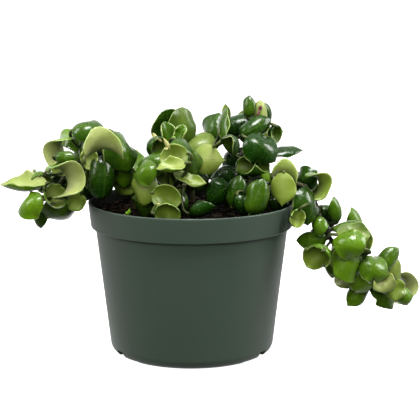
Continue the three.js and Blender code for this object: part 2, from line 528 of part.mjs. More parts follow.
// Each stem's foot in the mix, its run and its branches above it, the rule for its far leaves, and
// the leaves seen from the front. A leaf's middle is seen at the pixels across and down, and lies
// so many millimetres behind the pot's axis. tip and face are the bearings and rises of its tip and
// of its upper face, and size is the length of its midrib.
const STEMS = {
  left: {
    foot: [-42, 6],
    run: [
      [-45, 4, 118], [-54, 0, 136], [-66, -4, 147], [-80, -8, 143], [-93, -10, 130],
      [-103, -12, 118], [-116, -12, 117],
    ],
    branches: [],
    rule: { first: 45, last: 145, spacing: 15, allRound: false },
    leaves: [
      { form: 'boat', across: 26, down: 189, behind: -16, tip: [-90, 8], face: [180, -72], size: 36 },
      { form: 'cup', across: 38, down: 176, behind: -12, tip: [90, 0], face: [200, 30], size: 26 },
      { form: 'shell', across: 49, down: 178, behind: 4, tip: [0, 80], face: [40, 20], size: 18 },
      { form: 'bell', across: 31, down: 204, behind: -20, tip: [-90, -10], face: [-40, 25], size: 26 },
      { form: 'lemon', across: 38, down: 218, behind: -14, tip: [-20, -75], face: [-20, -10], size: 19 },
      { form: 'bell', across: 62, down: 213, behind: -16, tip: [50, -40], face: [35, -30], size: 33 },
      { form: 'cup', across: 57, down: 200, behind: -26, tip: [90, -20], face: [190, -35], size: 30 },
      { form: 'shell', across: 48, down: 194, behind: -26, tip: [0, -80], face: [-50, -10], size: 20 },
      { form: 'shell', across: 59, down: 185, behind: -20, tip: [-70, 10], face: [-45, 30], size: 24 },
      { form: 'hook', across: 74, down: 178, behind: -24, tip: [-40, -75], face: [125, 12], size: 46 },
      { form: 'hook', across: 56, down: 147, behind: -10, tip: [10, 85], face: [-112, 12], size: 42 },
      { form: 'bell', across: 70, down: 133, behind: 0, tip: [-90, 0], face: [-30, 50], size: 27 },
      { form: 'shell', across: 91, down: 127, behind: -2, tip: [90, 5], face: [20, 50], size: 30 },
      { form: 'cup', across: 90, down: 139, behind: -4, tip: [60, 0], face: [190, 10], size: 22 },
      { form: 'boat', across: 83, down: 149, behind: -8, tip: [0, -75], face: [-40, 15], size: 24 },
      { form: 'saddle', across: 105, down: 145, behind: -24, tip: [90, -12], face: [186, 42], size: 41 },
      { form: 'dish', across: 92, down: 158, behind: -18, tip: [-20, -70], face: [165, 0], size: 20 },
      { form: 'bell', across: 125, down: 150, behind: -12, tip: [70, -65], face: [45, 20], size: 36 },
      { form: 'clam', across: 106, down: 177, behind: -20, tip: [-10, -80], face: [25, 8], size: 36 },
      { form: 'saddle', across: 92, down: 174, behind: -20, tip: [0, 85], face: [-105, 5], size: 32 },
      { form: 'saddle', across: 116, down: 157, behind: 0, tip: [90, 40], face: [30, 20], size: 22 },
      { form: 'shell', across: 129, down: 172, behind: -8, tip: [20, -80], face: [50, 5], size: 28 },
      { form: 'fan', across: 125, down: 183, behind: -4, tip: [60, -50], face: [190, -10], size: 20 },
      { form: 'boat', across: 67, down: 157, behind: -14, tip: [90, -10], face: [0, 25], size: 16 },
      { form: 'saddle', across: 59, down: 166, behind: -16, tip: [0, 80], face: [-110, 0], size: 20 },
      { form: 'shell', across: 86, down: 186, behind: -14, tip: [0, -80], face: [35, 0], size: 27 },
      { form: 'fan', across: 76, down: 202, behind: -28, tip: [-60, -50], face: [190, 0], size: 15 },
    ],
  },
  middle: {
    foot: [-20, -2],
    run: [[-24, -8, 120], [-22, -10, 136], [-14, -4, 148], [-12, 0, 156]],
    branches: [
      [[-14, -4, 148], [-6, 2, 150], [4, 4, 150]],
      [[-22, -10, 136], [-12, -16, 138], [2, -14, 134]],
      [[-21, -4, 110], [-24, -24, 113], [-24, -40, 118], [-14, -40, 128], [-4, -36, 130]],
    ],
    rule: { first: 42, last: 80, spacing: 15, allRound: false },
    leaves: [
      { form: 'sail', across: 167, down: 125, behind: 6, tip: [-8, 84], face: [12, -8], size: 28 },
      { form: 'ruff', across: 183, down: 126, behind: 2, tip: [8, 84], face: [195, -6], size: 28 },
      { form: 'trough', across: 168, down: 135, behind: -4, tip: [-20, 70], face: [20, 15], size: 20 },
      { form: 'trough', across: 181, down: 134, behind: -6, tip: [30, 66], face: [-10, 15], size: 14 },
      { form: 'open', across: 174, down: 141, behind: -8, tip: [0, 80], face: [0, 20], size: 9 },
      { form: 'cup', across: 151, down: 145, behind: -10, tip: [-40, 60], face: [-138, 15], size: 29 },
      { form: 'bell', across: 154, down: 158, behind: -32, tip: [-90, 0], face: [-20, 50], size: 28 },
      { form: 'dish', across: 153, down: 167, behind: -24, tip: [90, -10], face: [180, -20], size: 22 },
      { form: 'bell', across: 189, down: 155, behind: -26, tip: [60, -40], face: [40, 25], size: 33 },
      { form: 'dish', across: 174, down: 158, behind: -38, tip: [-80, -10], face: [186, -8], size: 25 },
      { form: 'boat', across: 172, down: 170, behind: -42, tip: [-80, -10], face: [180, -60], size: 22 },
      { form: 'hood', across: 201, down: 142, behind: -8, tip: [90, 5], face: [180, -40], size: 26 },
      { form: 'kite', across: 207, down: 160, behind: -24, tip: [90, 0], face: [172, -8], size: 28 },
      { form: 'shell', across: 199, down: 176, behind: -22, tip: [60, -20], face: [35, 30], size: 25 },
      { form: 'bell', across: 143, down: 171, behind: -42, tip: [-80, 0], face: [-35, 25], size: 22 },
      { form: 'hood', across: 143, down: 188, behind: -42, tip: [-25, -70], face: [165, -10], size: 27 },
      { form: 'bell', across: 141, down: 201, behind: -38, tip: [-10, -80], face: [-30, 8], size: 26 },
      { form: 'dish', across: 170, down: 185, behind: -32, tip: [-85, 0], face: [176, -12], size: 29 },
      { form: 'band', across: 189, down: 180, behind: -46, tip: [100, -30], face: [188, -40], size: 27 },
      { form: 'dish', across: 165, down: 197, behind: -48, tip: [80, -15], face: [190, -10], size: 27 },
      { form: 'bowl', across: 168, down: 211, behind: -52, tip: [90, -7], face: [180, 8], size: 25 },
      { form: 'boat', across: 203, down: 212, behind: -46, tip: [90, 8], face: [20, -25], size: 21 },
      { form: 'shell', across: 186, down: 204, behind: -34, tip: [60, -70], face: [60, 0], size: 24 },
      { form: 'shell', across: 170, down: 152, behind: 0, tip: [0, 40], face: [0, 30], size: 26 },
      { form: 'shell', across: 163, down: 174, behind: -16, tip: [90, 0], face: [0, 20], size: 26 },
    ],
  },
  upper: {
    foot: [26, 8],
    run: [[32, 8, 122], [38, 4, 140], [44, 0, 156], [48, -2, 172], [50, -2, 178]],
    branches: [
      [[38, 4, 140], [28, 2, 150], [20, 0, 160]],
    ],
    rule: { first: 45, last: 95, spacing: 15, allRound: false },
    leaves: [
      { form: 'bell', across: 211, down: 128, behind: -2, tip: [-30, 75], face: [-40, 20], size: 30 },
      { form: 'sickle', across: 221, down: 136, behind: -14, tip: [-90, 72], face: [-80, -12], size: 46 },
      { form: 'arch', across: 236, down: 141, behind: -22, tip: [60, -50], face: [110, 35], size: 27 },
      { form: 'boat', across: 240, down: 121, behind: 2, tip: [90, 6], face: [0, 38], size: 31 },
      { form: 'lemon', across: 247, down: 107, behind: 0, tip: [0, 80], face: [-30, 10], size: 17 },
      { form: 'trough', across: 261, down: 113, behind: -6, tip: [0, 78], face: [192, 0], size: 19 },
      { form: 'lemon', across: 269, down: 113, behind: -2, tip: [0, 75], face: [40, 0], size: 17 },
      { form: 'boat', across: 256, down: 127, behind: -16, tip: [75, 32], face: [10, 20], size: 28 },
      { form: 'bell', across: 262, down: 148, behind: -20, tip: [70, -30], face: [20, 20], size: 31 },
      { form: 'cup', across: 271, down: 132, behind: -8, tip: [60, -40], face: [225, 10], size: 20 },
      { form: 'open', across: 285, down: 150, behind: -6, tip: [90, 18], face: [0, 62], size: 28 },
      { form: 'open', across: 267, down: 157, behind: -10, tip: [90, 3], face: [180, -60], size: 18 },
      { form: 'shell', across: 230, down: 161, behind: 4, tip: [-60, -40], face: [-30, 15], size: 29 },
      { form: 'shell', across: 232, down: 131, behind: 4, tip: [60, 20], face: [0, 10], size: 20 },
      { form: 'open', across: 226, down: 113, behind: -2, tip: [-10, 75], face: [190, 0], size: 14 },
    ],
  },
  right: {
    foot: [46, -26],
    run: [[48, -27, 112], [52, -28, 122], [58, -24, 128]],
    branches: [
      [[48, -27, 112], [42, -26, 124], [42, -22, 132]],
    ],
    leaves: [
      { form: 'clam', across: 252, down: 171, behind: -19, tip: [90, 22], face: [184, -48], size: 28 },
      { form: 'lemon', across: 235, down: 191, behind: -34, tip: [20, 75], face: [-25, 12], size: 26 },
      { form: 'lemon', across: 256, down: 197, behind: -42, tip: [30, 62], face: [-10, 10], size: 30 },
      { form: 'saddle', across: 285, down: 172, behind: -18, tip: [90, -25], face: [165, 38], size: 30 },
      { form: 'kite', across: 282, down: 190, behind: -28, tip: [-20, -72], face: [168, 0], size: 26 },
      { form: 'open', across: 267, down: 176, behind: -22, tip: [-60, 40], face: [10, 20], size: 14 },
      { form: 'shell', across: 280, down: 201, behind: -27, tip: [80, -10], face: [20, 25], size: 19 },
      { form: 'shell', across: 222, down: 172, behind: 0, tip: [-80, 10], face: [-30, 40], size: 25 },
      { form: 'lemon', across: 242, down: 206, behind: -40, tip: [60, -60], face: [0, 0], size: 18 },
      { form: 'shell', across: 221, down: 191, behind: -10, tip: [-60, -40], face: [20, 10], size: 27 },
      { form: 'shell', across: 259, down: 182, behind: -6, tip: [30, 30], face: [0, 30], size: 24 },
    ],
  },
  trailing: {
    foot: [58, 6],
    run: [
      [63, 4, 118], [72, 0, 125], [84, -4, 122], [92, -8, 108], [98, -10, 92],
      [108, -12, 78], [122, -12, 70], [138, -12, 64], [150, -12, 55], [158, -12, 46],
    ],
    branches: [],
    rule: { first: 50, last: 190, spacing: 15, allRound: false },
    leaves: [
      { form: 'bell', across: 304, down: 179, behind: -4, tip: [60, 40], face: [-30, 15], size: 24 },
      { form: 'hook', across: 321, down: 184, behind: -8, tip: [0, 85], face: [112, 8], size: 36 },
      { form: 'shell', across: 299, down: 188, behind: 0, tip: [-60, 0], face: [0, 25], size: 22 },
      { form: 'bell', across: 310, down: 206, behind: -16, tip: [10, -80], face: [45, 5], size: 31 },
      { form: 'cup', across: 294, down: 218, behind: -22, tip: [-30, -70], face: [200, -10], size: 20 },
      { form: 'shell', across: 327, down: 209, behind: -2, tip: [80, 10], face: [30, 40], size: 16 },
      { form: 'boat', across: 337, down: 209, behind: -8, tip: [-8, 80], face: [40, 10], size: 20 },
      { form: 'shell', across: 332, down: 217, behind: 0, tip: [0, -80], face: [30, 10], size: 18 },
      { form: 'shell', across: 316, down: 226, behind: -18, tip: [-20, -70], face: [-35, 10], size: 18 },
      { form: 'shell', across: 325, down: 230, behind: -8, tip: [0, -80], face: [30, 0], size: 22 },
      { form: 'boat', across: 311, down: 239, behind: -18, tip: [-88, 0], face: [-20, 15], size: 24 },
      { form: 'cup', across: 321, down: 251, behind: -20, tip: [-60, -40], face: [150, 15], size: 36 },
      { form: 'shell', across: 307, down: 255, behind: -14, tip: [-20, -80], face: [-60, 0], size: 15 },
      { form: 'bell', across: 331, down: 265, behind: -18, tip: [-20, -75], face: [-40, 5], size: 24 },
      { form: 'bell', across: 345, down: 243, behind: -26, tip: [-80, 15], face: [-20, 15], size: 27 },
      { form: 'hook', across: 334, down: 253, behind: -18, tip: [0, 85], face: [-100, 0], size: 32 },
      { form: 'bell', across: 350, down: 263, behind: -26, tip: [-60, -30], face: [25, 10], size: 32 },
      { form: 'fan', across: 350, down: 235, behind: -12, tip: [85, 5], face: [180, -55], size: 25 },
      { form: 'lemon', across: 360, down: 221, behind: -4, tip: [0, 75], face: [40, 15], size: 24 },
      { form: 'boat', across: 348, down: 226, behind: -10, tip: [-90, -5], face: [0, 45], size: 25 },
      { form: 'fan', across: 360, down: 241, behind: -8, tip: [10, -75], face: [150, 0], size: 27 },
      { form: 'shell', across: 362, down: 254, behind: 0, tip: [40, -70], face: [10, 10], size: 22 },
      { form: 'bell', across: 373, down: 267, behind: -18, tip: [75, -20], face: [20, 25], size: 26 },
      { form: 'boat', across: 386, down: 258, behind: -12, tip: [50, 45], face: [0, 20], size: 24 },
      { form: 'sail', across: 386, down: 272, behind: -8, tip: [60, 55], face: [185, -10], size: 28 },
      { form: 'saddle', across: 380, down: 282, behind: -16, tip: [90, 10], face: [180, -35], size: 24 },
      { form: 'shell', across: 364, down: 278, behind: -16, tip: [80, -20], face: [30, 20], size: 28 },
      { form: 'dish', across: 348, down: 279, behind: -12, tip: [-70, -20], face: [180, -10], size: 22 },
      { form: 'boat', across: 361, down: 292, behind: -16, tip: [-55, -45], face: [5, 15], size: 29 },
      { form: 'fan', across: 394, down: 289, behind: -12, tip: [0, -75], face: [190, -10], size: 17 },
      { form: 'hook', across: 409, down: 285, behind: -6, tip: [-10, 85], face: [118, 10], size: 42 },
      { form: 'shell', across: 405, down: 297, behind: -14, tip: [60, -60], face: [20, 0], size: 18 },
    ],
  },
  rear_left: {
    foot: [-40, 40],
    run: [[-44, 46, 118], [-54, 56, 128], [-66, 68, 126], [-76, 80, 112], [-80, 88, 96]],
    branches: [],
    rule: { first: 46, last: 150, spacing: 15, allRound: true },
    leaves: [],
  },
  rear: {
    foot: [0, 44],
    run: [[0, 46, 120], [-4, 54, 134], [-8, 66, 136], [-10, 80, 126], [-10, 90, 110]],
    branches: [],
    rule: { first: 46, last: 150, spacing: 15, allRound: true },
    leaves: [],
  },
  rear_right: {
    foot: [40, 40],
    run: [[44, 44, 114], [50, 52, 122], [58, 64, 118], [66, 76, 104]],
    branches: [],
    rule: { first: 46, last: 140, spacing: 15, allRound: true },
    leaves: [],
  },
};

function leavesOf(stem, order, samples) {
  const placed = stem.leaves.map(({ form, across, down, behind, tip, face, size }) => {
    return { form, centre: seen(across, down, behind), tip: compass(...tip), face: compass(...face), size };
  });
  const ruled = stem.rule ? pairsAlong(samples, { ...stem.rule, seed: 20 * order + 3 }) : [];
  return [...placed, ...ruled].map((leaf, i) => ({ ...leaf, number: 100 * order + i }));
}

// Leaves that lie too near one another move apart in depth, so that each stays where it is seen
function pressApart(leaves) {
  const before = leaves.map((leaf) => leaf.centre.clone());
  for (let round = 0; round < PRESS_ROUNDS; round += 1) {
    for (let i = 0; i < leaves.length; i += 1) {
      for (let j = 0; j < i; j += 1) {
        const apart = leaves[i].centre.clone().sub(leaves[j].centre);
        const lack = ELBOW_ROOM * (leaves[i].size + leaves[j].size) - apart.length();
        if (lack > 0) {
          const push = (apart.dot(SIGHT) < 0 ? -lack : lack) / 4;
          leaves[i].centre.addScaledVector(SIGHT, push);
          leaves[j].centre.addScaledVector(SIGHT, -push);
        }
      }
    }
    leaves.forEach((leaf, i) => {
      const moved = leaf.centre.clone().sub(before[i]).dot(SIGHT);
      const kept = THREE.MathUtils.clamp(moved, -FURTHEST_PRESS, FURTHEST_PRESS);
      leaf.centre.addScaledVector(SIGHT, kept - moved);
    });
  }
}

// A leaf that follows the rule stays off the pot's rim and wall and off the mix
function keepOffPot(leaf) {
  const reach = REACH * leaf.size;
  const centre = leaf.centre;
  const out = Math.hypot(centre.x, centre.y);
  const rim = new THREE.Vector3(centre.x / out, centre.y / out, 0).multiplyScalar(RIM_RADIUS);
  rim.z = Math.min(centre.z, POT_HEIGHT);
  if (out < RIM_RADIUS) {
    centre.z = Math.max(centre.z, SOIL_TOP + reach);
    rim.z = POT_HEIGHT;
  }
  const apart = centre.clone().sub(rim);
  if (apart.length() < reach) centre.copy(rim).addScaledVector(apart.normalize(), reach);
}

function leafyStem({ name, curves, leaves }) {
  const samples = curves.flatMap(samplesOf);
  const stems = curves.map((curve) => {
    const steps = Math.max(2, Math.round(curve.getLength() / STEM_SPACING));
    return solid(tube(curve, STEM_SIDES, STEM_RADIUS, steps));
  });
  const parts = leaves.flatMap((leaf) => [
    solid(bladeGeometry(leaf)),
    solid(petioleGeometry(leaf, samples)),
  ]);
  const body = wholeBody(wasm.Manifold.union([...stems, ...parts]));
  return piece(`leafy_stem_${name}`, geometryOf(body), 0x4f7a2c, 0.35, 0);
}

// The potting mix

function soilProfile() {
  const inner = (height) => wallRadius(height) - PLASTIC - SOIL_GAP;
  const bottom = FLOOR_THICKNESS + SOIL_GAP;
  const ledge = BAND_FOOT + PLASTIC + SOIL_GAP;
  const bandInner = BAND_FOOT_RADIUS - PLASTIC - SOIL_GAP;
  return [
    [0, bottom],
    [BASE_RADIUS - PLASTIC - SOIL_GAP, bottom],
    [inner(CORNER_HEIGHT), CORNER_HEIGHT],
    [inner(ledge), ledge],
    [bandInner, ledge],
    [bandInner, SOIL_TOP],
    ...SOIL_RINGS.map((share) => [bandInner * share, SOIL_TOP]),
    [0, SOIL_TOP],
  ];
}

function pottingSoil() {
  const ground = lathe(soilProfile(), SOIL_SIDES);
  const places = ground.attributes.position;
  const top = SOIL_TOP - 0.01;
  const limit = BAND_FOOT_RADIUS - PLASTIC - SOIL_GAP - 0.5;
  for (let i = 0; i < places.count; i += 1) {
    const x = places.getX(i);
    const y = places.getY(i);
    if (places.getZ(i) > top && Math.hypot(x, y) < limit) {
      const bump = draw(Math.round(x * 2), Math.round(y * 2)) - 0.5;
      places.setZ(i, SOIL_TOP + 2 * SOIL_ROUGHNESS * bump);
    }
  }
  let soil = solid(ground);
  const depth = ROOT_DEPTH + 6;
  const bore = polygon(HOLE_SIDES, (STEM_RADIUS + HOLE_CLEARANCE) / Math.cos(Math.PI / HOLE_SIDES));
  for (const stem of Object.values(STEMS)) {
    const [x, y] = stem.foot;
    const hole = new THREE.ExtrudeGeometry(bore, { depth, bevelEnabled: false });
    soil = soil.subtract(solid(hole.translate(x, y, SOIL_TOP - ROOT_DEPTH - HOLE_CLEARANCE)));
  }
  return piece('potting_soil', geometryOf(soil), 0x1d1712, 0.95, 0);
}

const stems = Object.entries(STEMS).map(([name, stem], order) => {
  const curves = [[...rootOf(stem.foot), ...stem.run], ...stem.branches].map(curveOf);
  return { name, curves, leaves: leavesOf(stem, order, samplesOf(curves[0])) };
});
const leaves = stems.flatMap((stem) => stem.leaves);
pressApart(leaves);
leaves.filter((leaf) => leaf.ruled).forEach(keepOffPot);

const plant = new THREE.Group();
plant.add(nurseryPot(), pottingSoil(), ...stems.map(leafyStem));

export default plant;
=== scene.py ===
"""A hindu rope plant in its nursery pot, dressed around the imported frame. Metres, +Z up."""
import math

import bpy
import numpy as np
from mathutils import Matrix, Vector, noise
from mathutils.bvhtree import BVHTree


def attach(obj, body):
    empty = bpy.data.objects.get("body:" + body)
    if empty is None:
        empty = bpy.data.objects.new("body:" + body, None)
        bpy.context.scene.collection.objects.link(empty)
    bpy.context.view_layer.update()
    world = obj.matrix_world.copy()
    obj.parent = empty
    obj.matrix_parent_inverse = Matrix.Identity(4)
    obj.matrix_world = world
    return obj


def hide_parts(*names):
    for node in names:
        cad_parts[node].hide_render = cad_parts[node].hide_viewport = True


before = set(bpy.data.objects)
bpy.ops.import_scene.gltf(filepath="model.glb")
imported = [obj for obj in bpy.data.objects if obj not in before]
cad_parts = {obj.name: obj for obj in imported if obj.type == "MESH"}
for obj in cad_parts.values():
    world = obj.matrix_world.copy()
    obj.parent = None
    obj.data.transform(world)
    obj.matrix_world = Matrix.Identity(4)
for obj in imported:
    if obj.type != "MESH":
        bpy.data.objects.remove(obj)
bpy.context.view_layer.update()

# The room: a white sweep of floor under soft studio light. Small softboxes at both sides and above
# give the leaves their gloss, and a broad one in front fills the shadows. The camera looks down a
# little from a metre away, through a long lens, so the pot hardly tapers with distance.
MM = 0.001
PICTURE = 420
LENS_PIXELS = 1378.5
SENSOR = 36.0
CAMERA_AT = Vector((13.5, -1000.0, 289.7)) * MM
CAMERA_DOWN = math.radians(10.46)
ROOM_LIGHT = {"diffuse": (0.06, 0.25), "glossy": (0.05, 1.0)}
ROOM_FADE = (-0.6, 0.85)
FLOOR_SIZE = 60
FLOOR_GLOW = 0.75


def placed(name, data):
    """A new object at the origin that shows the given mesh, light or camera."""
    made = bpy.data.objects.new(name, data)
    bpy.context.scene.collection.objects.link(made)
    return made


def deselect_all():
    if bpy.context.object and bpy.context.object.mode != "OBJECT":
        bpy.ops.object.mode_set(mode="OBJECT")
    bpy.ops.object.select_all(action="DESELECT")


class Finish:
    """A material as it is made up: each method adds a node and gives its output."""

    def __init__(self, name, base, roughness):
        self.material = bpy.data.materials.new(name)
        self.material.use_nodes = True
        self.nodes = self.material.node_tree.nodes
        self.links = self.material.node_tree.links
        self.shader = self.nodes["Principled BSDF"]
        self.set(self.shader, Base_Color=base, Roughness=roughness)

    def set(self, node, **values):
        """Gives sockets a number or a color of their own, or the output of another node."""
        for name, value in values.items():
            socket = node.inputs[name.replace("_", " ")]
            if isinstance(value, bpy.types.NodeSocket):
                self.links.new(value, socket)
            else:
                socket.default_value = (*value, 1) if socket.type == "RGBA" else value

    def node(self, kind, **values):
        made = self.nodes.new("ShaderNode" + kind)
        self.set(made, **values)
        return made

    def place(self):
        return self.node("TexCoord").outputs["Object"]

    def noise(self, scale, detail=2):
        return self.node("TexNoise", Vector=self.place(), Scale=scale, Detail=detail).outputs["Fac"]

    def attribute(self, name):
        made = self.node("Attribute")
        made.attribute_name = name
        return made.outputs["Fac"]

    def number(self, operation, *values):
        made = self.node("Math")
        made.operation = operation
        for socket, value in zip(made.inputs, values):
            if isinstance(value, bpy.types.NodeSocket):
                self.links.new(value, socket)
            else:
                socket.default_value = value
        return made.outputs[0]

    def plus(self, a, b):
        return self.number("ADD", a, b)

    def times(self, a, b):
        return self.number("MULTIPLY", a, b)

    def ramp(self, value, low, high, start=0.0, end=1.0, smooth=True):
        """The value carried from the range low to high over to the range start to end."""
        made = self.node("MapRange", Value=value)
        made.interpolation_type = "SMOOTHSTEP" if smooth else "LINEAR"
        self.set(made, From_Min=low, From_Max=high, To_Min=start, To_Max=end)
        return made.outputs["Result"]

    def mixed(self, share, a, b, blend="MIX"):
        made = self.node("Mix")
        made.data_type = "RGBA"
        made.blend_type = blend
        self.set(made, Factor=share, A=a, B=b)
        return made.outputs["Result"]

    def bump(self, height, strength, distance):
        relief = self.node("Bump", Strength=strength, Distance=distance, Height=height)
        self.set(self.shader, Normal=relief.outputs["Normal"])


def softbox(name, place, aim, size, power, mirrored=True):
    light = bpy.data.lights.new(name, "AREA")
    light.shape = "RECTANGLE"
    light.size, light.size_y = size
    light.energy = power
    lamp = placed(name, light)
    lamp.location = place
    lamp.rotation_euler = (Vector(aim) - Vector(place)).to_track_quat("-Z", "Y").to_euler()
    lamp.visible_glossy = mirrored


camera = bpy.data.cameras.new("camera")
camera.sensor_width = SENSOR
camera.lens = SENSOR * LENS_PIXELS / PICTURE
camera_object = placed("camera", camera)
camera_object.location = CAMERA_AT
camera_object.rotation_euler = (math.pi / 2 - CAMERA_DOWN, 0, 0)
bpy.context.scene.camera = camera_object
bpy.context.scene.view_settings.view_transform = "Standard"
bpy.context.scene.view_settings.look = "Medium High Contrast"

softbox("left_softbox", place=(-1.05, -0.3, 0.85), aim=(0, 0, 0.12), size=(0.4, 0.8), power=6)
softbox("right_softbox", place=(1.1, -0.2, 0.75), aim=(0, 0, 0.12), size=(0.4, 0.8), power=10)
softbox("top_softbox", place=(0.1, -0.45, 1.3), aim=(0, 0, 0.1), size=(0.6, 0.45), power=16)
softbox("front_softbox", (-0.1, -1.5, 0.75), aim=(0, 0, 0.1), size=(1.2, 0.9), power=23, mirrored=False)

# The room's own light comes mostly from behind, off the white sweep
world = bpy.data.worlds.new("studio")
world.use_nodes = True
nodes, links = world.node_tree.nodes, world.node_tree.links
direction = nodes.new("ShaderNodeTexCoord")
split = nodes.new("ShaderNodeSeparateXYZ")
links.new(direction.outputs["Generated"], split.inputs[0])
seen_by = {}
for kind, (front, back) in ROOM_LIGHT.items():
    fade = nodes.new("ShaderNodeMapRange")
    for name, value in zip(("From Min", "From Max", "To Min", "To Max"), (*ROOM_FADE, front, back)):
        fade.inputs[name].default_value = value
    links.new(split.outputs[1], fade.inputs["Value"])
    seen_by[kind] = fade.outputs["Result"]
ray = nodes.new("ShaderNodeLightPath")
strength = nodes.new("ShaderNodeMix")
links.new(ray.outputs["Is Glossy Ray"], strength.inputs["Factor"])
links.new(seen_by["diffuse"], strength.inputs["A"])
links.new(seen_by["glossy"], strength.inputs["B"])
links.new(strength.outputs["Result"], nodes["Background"].inputs["Strength"])
nodes["Background"].inputs["Color"].default_value = (1, 1, 1, 1)
bpy.context.scene.world = world

deselect_all()
bpy.ops.mesh.primitive_plane_add(size=FLOOR_SIZE)
floor = bpy.context.object
floor.name = "floor"
sweep = Finish("white_sweep", (0.8, 0.8, 0.8), 0.8)
sweep.set(sweep.shader, Emission_Color=(1, 1, 1), Emission_Strength=FLOOR_GLOW)
floor.data.materials.append(sweep.material)
floor.visible_diffuse = False
floor.visible_glossy = False

# The nursery pot: one thin-walled tub of dark grey-green plastic, moulded in one shot. It has a
# proud band below the rim, a rounded corner at the foot, and three flat feet parted by shallow
# drain channels, each with a slot through the corner.
POT_HEIGHT = 112.7
RIM_RADIUS = 76.0
BAND_FOOT = 94.5
BAND_FOOT_RADIUS = 74.2
BAND_LEAN = 0.12
BAND_EDGE = 0.5
WALL_TOP_RADIUS = 71.3
WALL_TOP_CREASE = (0.4, 0.5)
WALL_FOOT_RADIUS = 60.7
CORNER_HEIGHT = 8.0
BASE_RADIUS = 53.0
PLASTIC = 1.6
FLOOR_THICKNESS = 3.6
EDGE_RING = 1.2
POT_SIDES = 144
CHANNELS = 3
FIRST_CHANNEL = -30
CHANNEL_DEPTH = 1.8
CHANNEL_REACH = (36.0, 65.0)
CHANNEL_HALF_ANGLE = math.radians(19)
SLOT_WIDTH = 9.0
SLOT_HEIGHT = 4.2
SLOT_INNER_RADIUS = 50.0
POT_CREASE = math.radians(20)
PLASTIC_TINTS = ((0.051, 0.073, 0.055), (0.058, 0.080, 0.061))
PLASTIC_ROUGHNESS = (0.36, 0.5)
# Painted shade: the wall's inner face above the mix takes this near-black tint.
INNER_PAINTED_SHADE_TINT = (0.008, 0.010, 0.007)
INNER_PAINTED_SHADE_BEHIND_RIM = (1.3, 1.9)
INNER_PAINTED_SHADE_ABOVE_BAND_FOOT = (6, 9)


def arc(centre, radius, start, end, steps):
    """Points (r, z) on an ellipse's arc, from one angle in degrees to another."""
    turns = [math.radians(start + (end - start) * i / steps) for i in range(steps + 1)]
    return [(centre[0] + radius[0] * math.cos(t), centre[1] + radius[1] * math.sin(t)) for t in turns]


def wall_radius(height):
    share = (height - CORNER_HEIGHT) / (BAND_FOOT - CORNER_HEIGHT)
    return WALL_FOOT_RADIUS + (WALL_TOP_RADIUS - WALL_FOOT_RADIUS) * share


def pot_profile():
    """Half the pot's section. A ring close to each rounded edge keeps the walls' shading flat."""
    corner_radius = (WALL_FOOT_RADIUS - BASE_RADIUS, CORNER_HEIGHT)
    corner = arc((BASE_RADIUS, CORNER_HEIGHT), corner_radius, -90, 0, steps=8)
    lip_centre = (RIM_RADIUS - PLASTIC / 2, POT_HEIGHT - PLASTIC / 2)
    lip = arc(lip_centre, (PLASTIC / 2, PLASTIC / 2), 0, 180, steps=12)
    ledge = BAND_FOOT + PLASTIC
    wall_foot, band_top = CORNER_HEIGHT + EDGE_RING, lip_centre[1] - EDGE_RING
    return [
        (0, 0), *corner, (wall_radius(wall_foot), wall_foot),
        (WALL_TOP_RADIUS - WALL_TOP_CREASE[0], BAND_FOOT - WALL_TOP_CREASE[1]), (WALL_TOP_RADIUS, BAND_FOOT),
        (BAND_FOOT_RADIUS - BAND_EDGE, BAND_FOOT), (BAND_FOOT_RADIUS, BAND_FOOT + BAND_EDGE),
        (RIM_RADIUS - BAND_LEAN, band_top), *lip,
        (BAND_FOOT_RADIUS - PLASTIC, ledge), (wall_radius(ledge) - PLASTIC, ledge),
        (WALL_FOOT_RADIUS - PLASTIC, CORNER_HEIGHT), (BASE_RADIUS - PLASTIC, FLOOR_THICKNESS),
        (0, FLOOR_THICKNESS),
    ]


def take_up(piece):
    """Makes the piece the only one selected, for the operators that follow."""
    deselect_all()
    bpy.context.view_layer.objects.active = piece
    piece.select_set(True)


def spin_profile(name, profile, sides):
    """A closed solid of revolution about Z from its half section, spun as on a lathe."""
    mesh = bpy.data.meshes.new(name)
    points = [(r * MM, 0, z * MM) for r, z in profile]
    mesh.from_pydata(points, [(i, i + 1) for i in range(len(points) - 1)], [])
    turned_piece = placed(name, mesh)
    take_up(turned_piece)
    bpy.ops.object.mode_set(mode="EDIT")
    bpy.ops.mesh.select_all(action="SELECT")
    bpy.ops.mesh.spin(steps=sides, angle=2 * math.pi, center=(0, 0, 0), axis=(0, 0, 1))
    bpy.ops.mesh.select_all(action="SELECT")
    bpy.ops.mesh.remove_doubles(threshold=0.01 * MM)
    bpy.ops.mesh.normals_make_consistent(inside=False)
    bpy.ops.object.mode_set(mode="OBJECT")
    return turned_piece


def cut_with(piece, cutter):
    """Takes the cutter's shape out of the piece, and removes the cutter."""
    take_up(piece)
    modifier = piece.modifiers.new("cut", "BOOLEAN")
    modifier.object = cutter
    modifier.operation = "DIFFERENCE"
    bpy.ops.object.modifier_apply(modifier="cut")
    bpy.data.objects.remove(cutter)


def radial_block(inner, inner_half, outer, outer_half, top, turn):
    """A block that reaches out from the pot's axis, for cutting a channel or a slot."""
    deselect_all()
    bpy.ops.mesh.primitive_cube_add(size=2)
    block = bpy.context.object
    for corner in block.data.vertices:
        far = corner.co.x > 0
        reach = outer if far else inner
        half = outer_half if far else inner_half
        height = top if corner.co.z > 0 else -CHANNEL_DEPTH
        corner.co = Vector((reach, half * corner.co.y, height)) * MM
    block.data.transform(Matrix.Rotation(turn, 4, "Z"))
    return block


